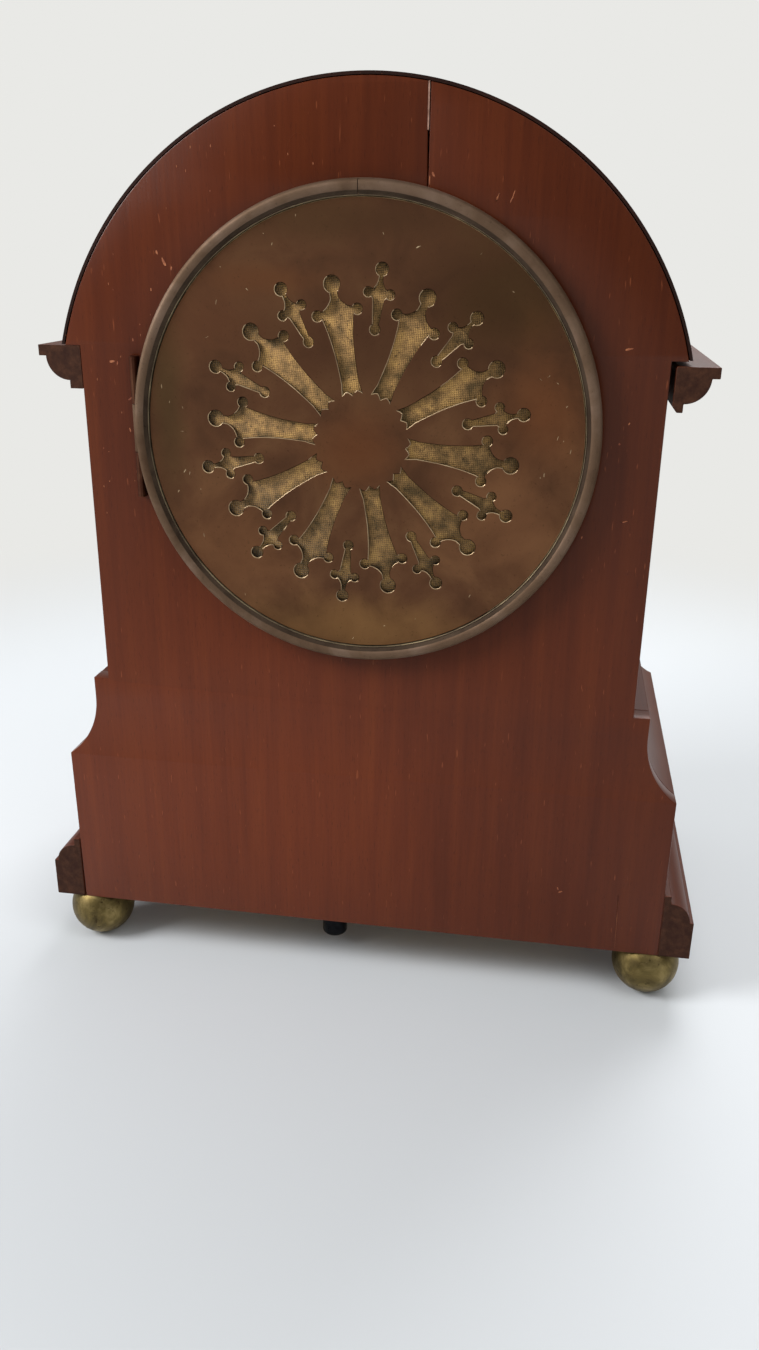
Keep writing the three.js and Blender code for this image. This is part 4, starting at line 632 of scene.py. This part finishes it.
# splinters and chips where the polish is gone: across, height, width, length and lean in degrees
wear = {
    "chips": [(-34.7, 243.0, 0.28, 2.6, 25), (-38.5, 243.2, 0.3, 3.2, 22), (55.9, 226.2, 0.9, 2.2, -25),
              (57.8, 228.6, 0.5, 1.3, -20), (53.9, 224.6, 0.5, 1.0, 10), (68.2, 189.3, 0.5, 1.9, 60),
              (69.1, 180.2, 0.5, 1.4, -15), (73.0, 199.5, 0.5, 1.8, 80), (71.5, 199.0, 0.45, 1.2, 10),
              (-17.9, 248.2, 0.5, 1.5, -30), (-16.95, 247.0, 0.3, 2.4, 0), (-71.2, 206.4, 0.3, 2.2, 75),
              (-73.0, 187.0, 0.35, 0.8, 30), (-70.9, 181.5, 0.6, 0.6, 0), (-74.2, 160.2, 0.25, 2.2, 80),
              (66.4, 205.5, 0.35, 0.9, 0), (60.1, 219.0, 0.4, 0.8, 0), (-65.3, 38.4, 0.4, 1.6, 70),
              (-64.5, 39.6, 0.35, 1.2, -20), (-83.9, 30, 0.12, 22, -2), (-62.9, 155.0, 0.4, 0.8, 10)],
    "flecks": 110, "fleckArea": ((10, 80), (150, 262)), "clear": 1.5,
    "fretBand": (49.5, 60), "fretMarks": 34, "seed": 7, "proud": 0.03,
    "filler": 0.4, "fillerDeep": 1.2, "fillerFrom": 258.5, "fillerTo": 269.6,
}


# thin slivers on a face that looks along +Y
def slivers(name, marks, y, dice, material, body):
    bm = bmesh.new()
    for x, z, wide, long, lean in marks:
        shape = Matrix.Translation((x, y, z)) @ Matrix.Rotation(radians(-lean), 4, "Y") \
            @ Matrix.Diagonal((wide / 2, wear["proud"] * 2, long / 2, 1)) @ Matrix.Rotation(pi / 2, 4, "X")
        made = bmesh.ops.create_cone(bm, cap_ends=True, segments=7, radius1=1, radius2=0.7, depth=1,
                                     matrix=shape)
        for vert in made["verts"]:
            vert.co.x += wide * dice.uniform(-0.12, 0.12)
            vert.co.z += long * dice.uniform(-0.12, 0.12)
    bmesh.ops.recalc_face_normals(bm, faces=bm.faces)
    piece(name, bm, [material], body)


def makeWear():
    dice = random.Random(wear["seed"])
    marks = list(wear["chips"])
    (x0, x1), (z0, z1) = wear["fleckArea"]
    for _ in range(wear["flecks"]):
        marks.append((dice.uniform(x0, x1), dice.uniform(z0, z1), dice.uniform(0.1, 0.24),
                      dice.uniform(0.25, 0.8), dice.uniform(-8, 8)))

    def onBoard(x, z):
        reach, clear = sqrt(x * x + (z - case["archCentre"]) ** 2), wear["clear"]
        return reach > door["radius"] + clear and (z < case["spring"] or reach < case["archRadius"] - clear)

    slivers("wearMarks", [m for m in marks if onBoard(*m[:2])], backY, dice, bareWood, "case")
    # old wax on one side of the crack
    filler = boxShape(case["crackX"], case["crackX"] + wear["filler"], backY - wear["fillerDeep"],
                      backY - 0.1, wear["fillerFrom"], wear["fillerTo"])
    piece("crackFiller", filler, [fillerWax], "case")


frontLine = [(half, underside), (half, case["spring"]),
             *archLine(case["archRadius"], case["archCentre"], case["spring"], case["archSteps"]),
             (-half, case["spring"]), (-half, underside)]
piece("frontBoard", sawn([frontLine, circleLine(0, dialZ, case["bezelHole"], 128)], frontY, innerFrontY, 0.2),
      [woodBoard], "case", ["front_board"])
veneer = {"inner": 90.0, "thick": 0.8, "centre": 181.2, "end": 203.8}
veneerLine = archLine(veneer["inner"] + veneer["thick"], veneer["centre"], veneer["end"], case["archSteps"]) \
    + archLine(veneer["inner"], veneer["centre"], veneer["end"], case["archSteps"])[::-1]
piece("archVeneer", sawn([veneerLine], frontY, backY), [darkVeneer], "case", ["arch_veneer"])


mitreGap = 0.15  # so that two mouldings meet without touching


# a side moulding runs square at the back and is mitred at the front; a front one is mitred at both ends
def mouldingShape(profile, out, backEnd=None, side=0, mitred=True):
    bm = bmesh.new()
    if side:
        corners = [(side * (half + out + p), backEnd, h) for p, h in profile]
    else:
        corners = [(mitreGap - half - out - p, frontY - out - p, h) for p, h in profile]
    start = bm.faces.new([bm.verts.new(corner) for corner in corners])
    made = bmesh.ops.extrude_face_region(bm, geom=[start], use_keep_orig=True)
    for vert in made["geom"]:
        if not isinstance(vert, bmesh.types.BMVert):
            continue
        if not side:
            vert.co.x = -vert.co.x
        elif mitred:
            vert.co.y = frontY + mitreGap + half - abs(vert.co.x)
        else:
            vert.co.y = frontY
    bmesh.ops.remove_doubles(bm, verts=bm.verts, dist=1e-4)
    bmesh.ops.recalc_face_normals(bm, faces=bm.faces)
    return bm


# end grain shows where a side moulding is cut across
def atEnd(face):
    return int(abs(face.normal.y) > 0.95)


def softened(made):
    bevel = made.modifiers.new("eased", "BEVEL")
    bevel.width = 0.25 * mm
    bevel.segments = 2
    bevel.limit_method = "ANGLE"
    bevel.angle_limit = radians(40)
    return made


makeWear()
coveProfile = [(0, underside), (case["plinthProud"], underside), *reversed(coveLine()),
               (case["ledge"], case["plinthTop"]), (0, case["plinthTop"])]
baseProfile = [(p, h + underside) for p, h in [
    (0, 0), (base["proud"], 0), (base["proud"], base["block"]),
    *arc(base["fillet"], base["block"], base["ovolo"], 0, pi / 2, 14), (base["fillet"], base["height"]),
    (0, base["height"])]]
cap = {"proud": 12.7, "height": 12, "slab": 3, "step": 2.1, "ovolo": 6.7,
       "slip": 1.2, "gap": 1.1, "chip": 1.5, "lean": 0.3}  # the last four are the loose capital's
capFillet = cap["proud"] - cap["step"] - cap["ovolo"]
capProfile = [(0, 0), (0, -cap["height"]), (capFillet, -cap["height"]),
              *arc(capFillet, -cap["slab"], cap["ovolo"], -pi / 2, 0, 14), (cap["proud"], -cap["slab"]),
              (cap["proud"], 0)]
for name, side in (("left", -1), ("right", 1)):
    plinth = mouldingShape(coveProfile, 0, innerBackY, side)
    softened(piece("plinth." + name, plinth, [woodMouldingY], "case",
                   ["plinth_" + name]))
    low = mouldingShape(baseProfile, case["plinthProud"], backY, side)
    softened(piece("baseMoulding." + name, low, [woodMouldingY, woodEnd], "case",
                   ["base_moulding_" + name], pick=atEnd))
    slipped = side < 0
    level = case["spring"] - slipped * cap["slip"]
    # the loose capital has a gap behind it, and its inner corners are broken
    gap, chip = (cap["gap"], cap["chip"]) if slipped else (0.05, 0.2)
    profile = [(gap, -chip / 4), (gap, chip - cap["height"]), (gap + chip * 0.8, -cap["height"]),
               *capProfile[2:-1], (cap["proud"], 0), (gap + chip / 4, 0)]
    profile = [(p, h + level) for p, h in profile]
    high = mouldingShape(profile, cap["lean"] * slipped, backY, side, mitred=False)
    softened(piece("capital." + name, high, [woodMouldingY, woodEnd], "case",
                   ["impost_" + name], pick=atEnd))
softened(piece("plinth.front", mouldingShape(coveProfile, 0), [woodMouldingX], "case",
               ["plinth_front"]))
softened(piece("baseMoulding.front", mouldingShape(baseProfile, case["plinthProud"]), [woodMouldingX], "case",
               ["base_moulding_front"]))
for name in ("side_left", "side_right"):
    dress(name, woodSide)
for name in ("arch_lining", "floor_board"):
    dress(name, pine)
print("stage: case")

# Ball feet

foot = {"radius": 10.9, "flat": 2, "height": 18, "x": 95.3, "backY": 50.6, "frontY": -51.7}
footStart = -acos(foot["flat"] / foot["radius"])
footMiddle = -foot["radius"] * sin(footStart)
footTop = asin((foot["height"] - footMiddle) / foot["radius"])
footLine = [(0, 0), *arc(0, footMiddle, foot["radius"], footStart, footTop, 28), (0, foot["height"])]
for end in ("back", "front"):
    for name, side in (("left", -1), ("right", 1)):
        ball = turned(footLine, 48, "Z", (side * foot["x"], foot[end + "Y"], 0))
        piece("foot.%s.%s" % (end, name), ball, [footBrass], "case",
              ["foot_%s_%s" % (end, name)])
print("stage: feet")

# Round back door


def atDoor(bm):
    bmesh.ops.translate(bm, verts=bm.verts, vec=(0, 0, dialZ))
    return bm


def hingeRoom(gap, y0, y1):
    return boxShape(door["hingeX"] - door["knuckle"] - gap, door["radius"] + 3, y0, y1,
                    -door["hingeHalf"] - gap, door["hingeHalf"] + gap)


bead = {  # the bead is fuller on its outer side, and falls to a dirty groove and a lip round the fret
    "foot": 0.4, "shoulder": 0.7, "brow": 1.5, "fall": 2.9, "groove": 3.4, "grooveDeep": 0.9,
    "lip": (0.45, 0.15), "lipUnder": (1.35, 1.3, 1.5),  # beside the fret, and below the crest
    "jointFrom": 0.9, "jointTo": 1.12, "jointDeep": 1.4,
}


def makeDoorRing():
    outer, inner, crest, low = door["radius"], door["radius"] - door["bead"], door["crest"], door["y"]
    shoulder, brow = (outer, low + bead["shoulder"]), (outer - bead["brow"], crest)
    groove = (outer - bead["groove"], crest - bead["grooveDeep"])
    (lipOut, lipIn), lipLow = bead["lip"], bead["lipUnder"]
    line = [(door["skirtIn"], door["skirtY"]), (door["skirt"], door["skirtY"]), (door["skirt"], low),
            (outer - bead["foot"], low), shoulder, *quadratic(shoulder, (outer, crest), brow, 8),
            *quadratic(brow, (outer - bead["fall"], crest), groove, 7),
            (inner + lipOut, crest - lipLow[0]), (inner + lipIn, crest - lipLow[1]),
            (inner, crest - lipLow[2]), (inner, door["shelfY"]), (door["inner"], door["shelfY"]),
            (door["inner"], low + 0.3), (door["skirtIn"], low + 0.3)]
    notch = hingeRoom(0.4, low - 1, door["hingeY"] + door["knuckle"] + 0.4)
    # the bead was bent from one strip, and its ends meet a little off the top
    joint = boxShape(bead["jointFrom"], bead["jointTo"], crest - bead["jointDeep"], crest + 1, inner - 0.2,
                     outer + 1)
    ring = carved(turned(line, door["steps"]), [notch, joint])
    third = door["hingeHalf"] / 3
    barrel = knuckleAt(door["hingeX"], door["hingeY"], door["knuckle"], -third, third)
    arm = boxShape(inner, door["hingeX"], door["hingeY"], crest - 1.6, -third, third)
    ring = carved(ring, [barrel, arm], "UNION")

    # rubbed outside, grey inside, with a painted highlight on the lip against the fret
    def part(face):
        out = Vector((face.center.x, face.center.z - dialZ * mm))
        across = out.length / mm
        if face.center.y < (door["shelfY"] - 0.2) * mm or across > outer - 3.0:
            return 0
        inward = -(face.normal.x * out.x + face.normal.z * out.y) / out.length
        return 2 if inward > 0.7 and across < inner + 0.25 else 1

    piece("doorRing", atDoor(ring), [beadBrass, beadInner, beadLipHighlight], "back_door",
          ["door_ring"], pick=part)


def makeBackRing():
    line = [(door["ringBore"], door["tailY"]), (door["ringOuter"], door["tailY"]), (door["ringOuter"], backY),
            (door["flange"], backY), (door["flange"], door["flangeY"]), (door["ringBore"], door["flangeY"])]
    ring = carved(turned(line, door["steps"]), [hingeRoom(0.3, backY - 1, door["flangeY"] + 1)])
    piece("backRing", atDoor(ring), [platePatinaAndSheen], "case", ["back_ring"])


def mirrored(line):
    return line + [(-s, r) for s, r in line[-2:0:-1]]


fret = {
    "radius": 61.7, "y": 61.5, "thick": 1.1, "drop": 1.2, "chamfer": 0.19,
    "pairs": 10, "longFrom": -11.2, "shortFrom": 6.8,  # degrees
}


# A piercing's points are aside of its own middle line and out from the fret's centre, in mm, from its foot
# to its tip. Its eyes are drilled holes, each with its place and its radius.
def longPiercing():
    eye, tip = (5.6, 34.8, 1.4), (0, 42.2, 2.2)
    into, outOf = (arc(*eye, radians(a), 0, 1)[0] for a in (212, 148))
    return mirrored([
        (0, 12.8), (0.7, 13.5), (1.4, 14.0), (2.1, 13.7), (2.75, 13.2), (2.6, 14.6), (2.35, 16.0),
        *quadratic((2.35, 16.0), (2.4, 19.8), (2.6, 23.5), 5), *quadratic((2.6, 23.5), (3.2, 30.0), into, 8),
        *arc(*eye, radians(-148), radians(148), 18)[1:], *quadratic(outOf, (2.0, 36.2), (1.0, 38.6), 7),
        *arc(*tip, radians(-64.5), radians(90), 13)])


def shortPiercing():
    eye, tip, root = (3.0, 39.5, 1.25), (0, 45.6, 1.7), (0, 30.2, 1.4)
    return mirrored([
        *arc(*root, radians(-90), radians(60), 11), *quadratic((0.8, 31.5), (1.1, 35.0), (1.5, 38.0), 4),
        *arc(*eye, radians(-140), radians(140), 16), *quadratic((2.04, 40.3), (0.6, 41.2), (0.45, 43.4), 5),
        *arc(*tip, radians(-75), radians(90), 12)])


def makeFret():
    loops = [circleLine(0, 0, fret["radius"], 144)]
    for k in range(fret["pairs"]):
        for line, start in ((longPiercing(), fret["longFrom"]), (shortPiercing(), fret["shortFrom"])):
            angle = radians(start + 360 / fret["pairs"] * k)
            s, c = sin(angle), cos(angle)
            loops.append([(-(r * s + a * c), r * c - a * s - fret["drop"]) for a, r in line])
    sheet = sawn(loops, fret["y"], fret["y"] + fret["thick"], fret["chamfer"])

    # the eased edges on the side of each piercing that faces the light get a painted highlight; those on the
    # other side share the dark walls as painted shade
    def part(face):
        if abs(face.normal.y) > 0.95:
            return 0
        litSide = face.normal.y > 0.3 and face.normal.z - face.normal.x > -0.15
        return 1 if litSide else 2

    piece("fretPlate", atDoor(sheet), [platePatinaAndSheen, plateEdgeWearAndHighlight, plateWallPatinaAndShade], "back_door",
          ["fret_plate"], pick=part)


# short scratches on the band outside the piercings
def makeScratches():
    dice = random.Random(wear["seed"] + 1)
    scratches = []
    for _ in range(wear["fretMarks"]):
        reach, at = dice.uniform(*wear["fretBand"]), dice.uniform(0, 2 * pi)
        scratches.append((reach * cos(at), dialZ + reach * sin(at), dice.uniform(0.1, 0.25),
                          dice.uniform(0.3, 1.4), dice.uniform(0, 180)))
    slivers("fretScratches", scratches, fret["y"] + fret["thick"], dice, plateEdgeWearAndHighlight, "back_door")


stretched = {
    "radius": 58.6, "y": 61.15, "thick": 0.2, "rings": 18, "ringWide": 3,
    "waves": ((0.14, 0.09), (0.05, 0.4)),  # how deep in mm, and how close
}


def makeCloth():
    radius = stretched["radius"]
    bm = bmesh.new()
    bmesh.ops.create_circle(bm, cap_ends=True, segments=96, radius=radius)
    for _ in range(stretched["rings"]):
        middle = max(bm.faces, key=lambda f: len(f.verts))
        bmesh.ops.inset_region(bm, faces=[middle], thickness=stretched["ringWide"])
    bmesh.ops.transform(bm, verts=bm.verts, matrix=Matrix.Translation((0, stretched["y"], dialZ))
                        @ Matrix.Rotation(-pi / 2, 4, "X"))
    for vert in bm.verts:  # the cloth is stretched over the ring but not quite flat
        vert.co.y += sum(deep * noise.noise(vert.co * close) for deep, close in stretched["waves"])
    bmesh.ops.recalc_face_normals(bm, faces=bm.faces)
    made = piece("soundCloth", bm, [soundCloth], "back_door", ["sound_cloth"], smooth=60)
    thick = made.modifiers.new("thick", "SOLIDIFY")
    thick.thickness = stretched["thick"] * mm
    thick.offset = 0


makeDoorRing()
makeBackRing()
makeFret()
makeScratches()
makeCloth()
# painted shade: the hinge leaf and pin are dark like the shadow beside the ring
dress("door_hinge_leaf", hingeShadeTone)
dress("door_hinge_pin", hingeShadeTone)
print("stage: back door")

# Front: bezel, glass, dial and hands

dial = {
    "bore": 50.6, "flange": 61.0, "outer": 52.0, "frameY": -40.5, "frameBack": -30.2, "glassEdge": 62.0,
    "glassBack": -40.8, "glassFront": -48.3, "rimRound": 2.6, "lip": 51.2, "seat": 52.6, "radius": 50.3,
    "faceY": -38.6, "thick": 1.2, "dome": 4.6, "glassThick": 1.5, "hingeX": 62.6, "hingeHalf": 8.0,
    "knuckle": 1.3, "hingeGap": 0.4, "winder": 3.2, "winderX": 20.4, "winderZ": -9.0, "steps": 160,
    "middleHole": 3.5, "footAt": 38, "footRadius": 1.3, "footLong": 7.0, "collet": 3.9,
}


def makeBezel():
    bore, outer, hingeX, knuckle = dial["bore"], dial["outer"], dial["hingeX"], dial["knuckle"]
    tube = turned([(bore, dial["frameY"]), (dial["flange"], dial["frameY"]), (dial["flange"], frontY),
                   (outer, frontY), (outer, dial["frameBack"]), (bore, dial["frameBack"])], dial["steps"])
    third = dial["hingeHalf"] / 3
    added = []
    for z0, z1 in ((-dial["hingeHalf"], -third - 0.3), (third + 0.3, dial["hingeHalf"])):
        added.append(knuckleAt(hingeX, dial["glassBack"], knuckle, z0, z1))
        added.append(boxShape(dial["flange"] - 2, hingeX, dial["frameY"], dial["frameY"] + 1.2, z0, z1))
    piece("bezelFrame", atDoor(carved(tube, added, "UNION")), [brightBrass], "case",
          ["bezel_frame"])
    front, backFace, edge, lip = dial["glassFront"], dial["glassBack"], dial["glassEdge"], dial["lip"]
    rimRound = dial["rimRound"]
    rim = turned([(dial["seat"], backFace), (edge, backFace), (edge, front + rimRound),
                  *arc(edge - rimRound, front + rimRound, rimRound, 0, -pi / 2, 10)[1:],
                  (lip + 2.4, front + 0.2), (lip, front + 1.4), (lip, front + 3), (dial["seat"], front + 3)],
                 dial["steps"])
    gap = dial["hingeGap"]
    room = boxShape(hingeX - knuckle - gap, edge + 4, backFace - knuckle - gap, backFace + 1,
                    -dial["hingeHalf"] - gap, dial["hingeHalf"] + gap)
    rim = carved(rim, [room])
    middle = [knuckleAt(hingeX, backFace, knuckle, -third, third),
              boxShape(edge - 2.4, hingeX, backFace - knuckle, backFace, -third, third)]
    piece("glassBezel", atDoor(carved(rim, middle, "UNION")), [brightBrass], "glass_door",
          ["glass_bezel"])
    dome, edgeY, seat = dial["dome"], front + 3.3, dial["seat"] - 0.3
    curveRadius = (lip ** 2 + dome ** 2) / (2 * dome)

    def domeLine(y):
        reaches = [(lip - 0.3) * i / 20 for i in range(21)]
        return [(r, y - dome + curveRadius - sqrt(curveRadius ** 2 - r * r)) for r in reaches]

    pane = turned([*domeLine(edgeY), (seat, edgeY), (seat, edgeY + dial["glassThick"]),
                   *domeLine(edgeY + dial["glassThick"])[::-1]], 128)
    piece("dialGlass", atDoor(pane), [clearGlass], "glass_door", ["dial_glass"])


# Roman strokes in the numeral's own square, 10 high: each stroke from one point to another, with its width.
numeralStrokes = {
    "I": (2.6, [((1.3, 0), (1.3, 10), 1.3), ((0.2, 0.15), (2.4, 0.15), 0.3),
                ((0.2, 9.85), (2.4, 9.85), 0.3)]),
    "V": (6.4, [((0.9, 10), (3.3, 0), 1.3), ((5.5, 10), (3.3, 0), 0.45), ((0, 9.85), (2.2, 9.85), 0.3),
                ((4.5, 9.85), (6.4, 9.85), 0.3)]),
    "X": (6.4, [((0.9, 10), (5.5, 0), 1.3), ((5.5, 10), (0.9, 0), 0.45), ((0, 9.85), (2.2, 9.85), 0.3),
                ((4.4, 9.85), (6.4, 9.85), 0.3), ((0, 0.15), (1.9, 0.15), 0.3),
                ((4.3, 0.15), (6.4, 0.15), 0.3)]),
}
hours = ["XII", "I", "II", "III", "IIII", "V", "VI", "VII", "VIII", "IX", "X", "XI"]
chapter = {
    "middle": 36.5, "height": 10.0, "space": 0.5, "track": (44.2, 46.6), "trackWide": 0.25,
    "minute": 0.28, "five": 0.8, "ink": 0.03,
}


def makeDial():
    back = dial["faceY"] + dial["thick"]
    feet = [knuckleAt(0, 0, dial["footRadius"], 0, dial["footLong"]) for _ in range(3)]
    for stem, angle in zip(feet, (90, 210, 330)):
        spot = (dial["footAt"] * cos(radians(angle)), back - 0.4, dial["footAt"] * sin(radians(angle)))
        bmesh.ops.transform(stem, verts=stem.verts, matrix=Matrix.Translation(spot)
                            @ Matrix.Rotation(-pi / 2, 4, "X"))
    holes = [circleLine(0, 0, dial["middleHole"], 48)]
    holes += [circleLine(side * dial["winderX"], dial["winderZ"], dial["winder"], 48) for side in (-1, 1)]
    disc = sawn([circleLine(0, 0, dial["radius"], 160), *holes], dial["faceY"], back, 0.15)
    piece("dial", atDoor(carved(disc, feet, "UNION")), [enamel], "case", ["dial"])

    bm = bmesh.new()
    face = dial["faceY"] - chapter["ink"] / 2

    def stroke(a, b, width, frameTurn):
        run = Vector((b[0] - a[0], 0, b[1] - a[1]))
        middle = Vector(((a[0] + b[0]) / 2, face, (a[1] + b[1]) / 2))
        shape = Matrix.Diagonal((width, chapter["ink"], run.length, 1))
        aim = Matrix.Rotation(atan2(run.x, run.z), 4, "Y")
        bmesh.ops.create_cube(bm, size=1, matrix=frameTurn @ Matrix.Translation(middle) @ aim @ shape)

    scale = chapter["height"] / 10
    low = chapter["middle"] - chapter["height"] / 2
    for hour, letters in enumerate(hours):
        wide = sum(numeralStrokes[k][0] for k in letters) + chapter["space"] * (len(letters) - 1)
        at = -wide / 2
        clockwise = Matrix.Rotation(radians(30 * hour), 4, "Y")
        for k in letters:
            for a, b, width in numeralStrokes[k][1]:
                ends = [((at + x) * scale, low + z * scale) for x, z in (a, b)]
                stroke(*ends, width * scale, clockwise)
            at += numeralStrokes[k][0] + chapter["space"]
    inner, outer = chapter["track"]
    for minute in range(60):
        width = chapter["five"] if minute % 5 == 0 else chapter["minute"]
        stroke((0, inner), (0, outer), width, Matrix.Rotation(radians(6 * minute), 4, "Y"))
    piece("numerals", atDoor(bm), [dialInk], "case")
    for i, radius in enumerate(chapter["track"]):
        near, far = radius - chapter["trackWide"] / 2, radius + chapter["trackWide"] / 2
        line = turned([(near, face - 0.02), (far, face - 0.02), (far, face + 0.02), (near, face + 0.02)],
                      dial["steps"])
        piece("minuteTrack.%d" % i, atDoor(line), [dialInk], "case")
    hole, rim = dial["winder"], dial["collet"]
    for name, side in (("left", -1), ("right", 1)):
        collet = turned([(hole, face - 0.25), (hole + 0.3, face - 0.3), (rim, face - 0.05),
                         (rim, face + 0.02), (hole, face + 0.02)], 48)
        bmesh.ops.translate(collet, verts=collet.verts, vec=(side * dial["winderX"], 0, dial["winderZ"]))
        piece("windingCollet." + name, atDoor(collet), [brightBrass], "case")


hands = {  # length, boss, bore, clockwise turn from twelve in degrees, front and back
    "hour": (31.0, 4.7, 3.15, 304, -40.5, -39.6),
    "minute": (43.0, 3.4, 1.75, 48, -43.2, -42.5),
    "eye": 0.13, "eyeAt": 0.68, "eyeWall": 0.9,  # of the length, and mm
}


def handShape(length, boss, bore, turnBy, y0, y1):
    eye, eyeAt = length * hands["eye"], length * hands["eyeAt"]
    line = mirrored([*arc(0, 0, boss, -pi / 2, radians(75), 14),
                     *quadratic((1.2, boss), (0.8, boss + 2), (0.75, eyeAt - eye - 0.6), 6),
                     *arc(0, eyeAt, eye, radians(-68), radians(66), 14),
                     *quadratic((0.9, eyeAt + eye), (0.7, eyeAt + eye + 1), (0.12, length), 4), (0, length)])
    holes = [circleLine(0, 0, bore, 32), circleLine(0, eyeAt, eye - hands["eyeWall"], 28)]
    shape = sawn([line, *holes], y0, y1, 0.12)
    bmesh.ops.transform(shape, verts=shape.verts, matrix=Matrix.Rotation(radians(turnBy), 4, "Y"))
    return atDoor(shape)


makeBezel()
makeDial()
piece("hourHand", handShape(*hands["hour"]), [blueSteel], "hour", ["hour_hand"])
piece("minuteHand", handShape(*hands["minute"]), [blueSteel], "centre", ["minute_hand"])
dress("bezel_hinge_pin", steel)
print("stage: dial and bezel")

# Movement, gong and nut

# the gong's nut: a black domed knob with a flange, hollow below
nut = {"radius": 4.3, "height": 13.5, "flange": 6.4, "flangeThick": 2.2, "flangeRound": 1.1, "bore": 2.6,
       "wall": 0.5, "x": 11.5, "y": 45.0}
nutTop, nutLow = underside - 0.1, underside - nut["height"]
nutLip = nut["bore"] + nut["wall"]
nutLine = [(0, nutTop), (nut["flange"], nutTop),
           *arc(nut["flange"], nutTop - nut["flangeRound"], nut["flangeRound"], pi / 2, -pi / 2, 8),
           (nut["radius"], nutTop - nut["flangeThick"]),
           *arc(nutLip, nutLow + 1.5, nut["radius"] - nutLip, 0, -pi / 2, 8),
           (nut["bore"], nutLow + 0.6), (nut["bore"] - 0.6, nutLow + 2.4), (0, nutLow + 2.8)]
piece("gongNut", turned(nutLine, 40, "Z", (nut["x"], nut["y"], 0)), [blackIron], "case",
      ["gong_nut"])
for name in ("front_plate", "back_plate", "back_cock", "centre_wheel", "hand_nut", "hour_wheel",
             "minute_wheel", "second_wheel", "going_barrel", "third_wheel", "escape_wheel", "pendulum_bob",
             "strike_barrel", "strike_wheel", "count_wheel", "pin_wheel"):
    dress(name, brightBrass)
for name in ("going_arbor", "strike_arbor", "cannon_pinion", "pallets", "strap_left", "strap_right",
             "suspension_spring", "pendulum_rod", "hammer", "gong"):
    dress(name, steel)
dress("gong_stand", blackIron)
print("stage: movement")
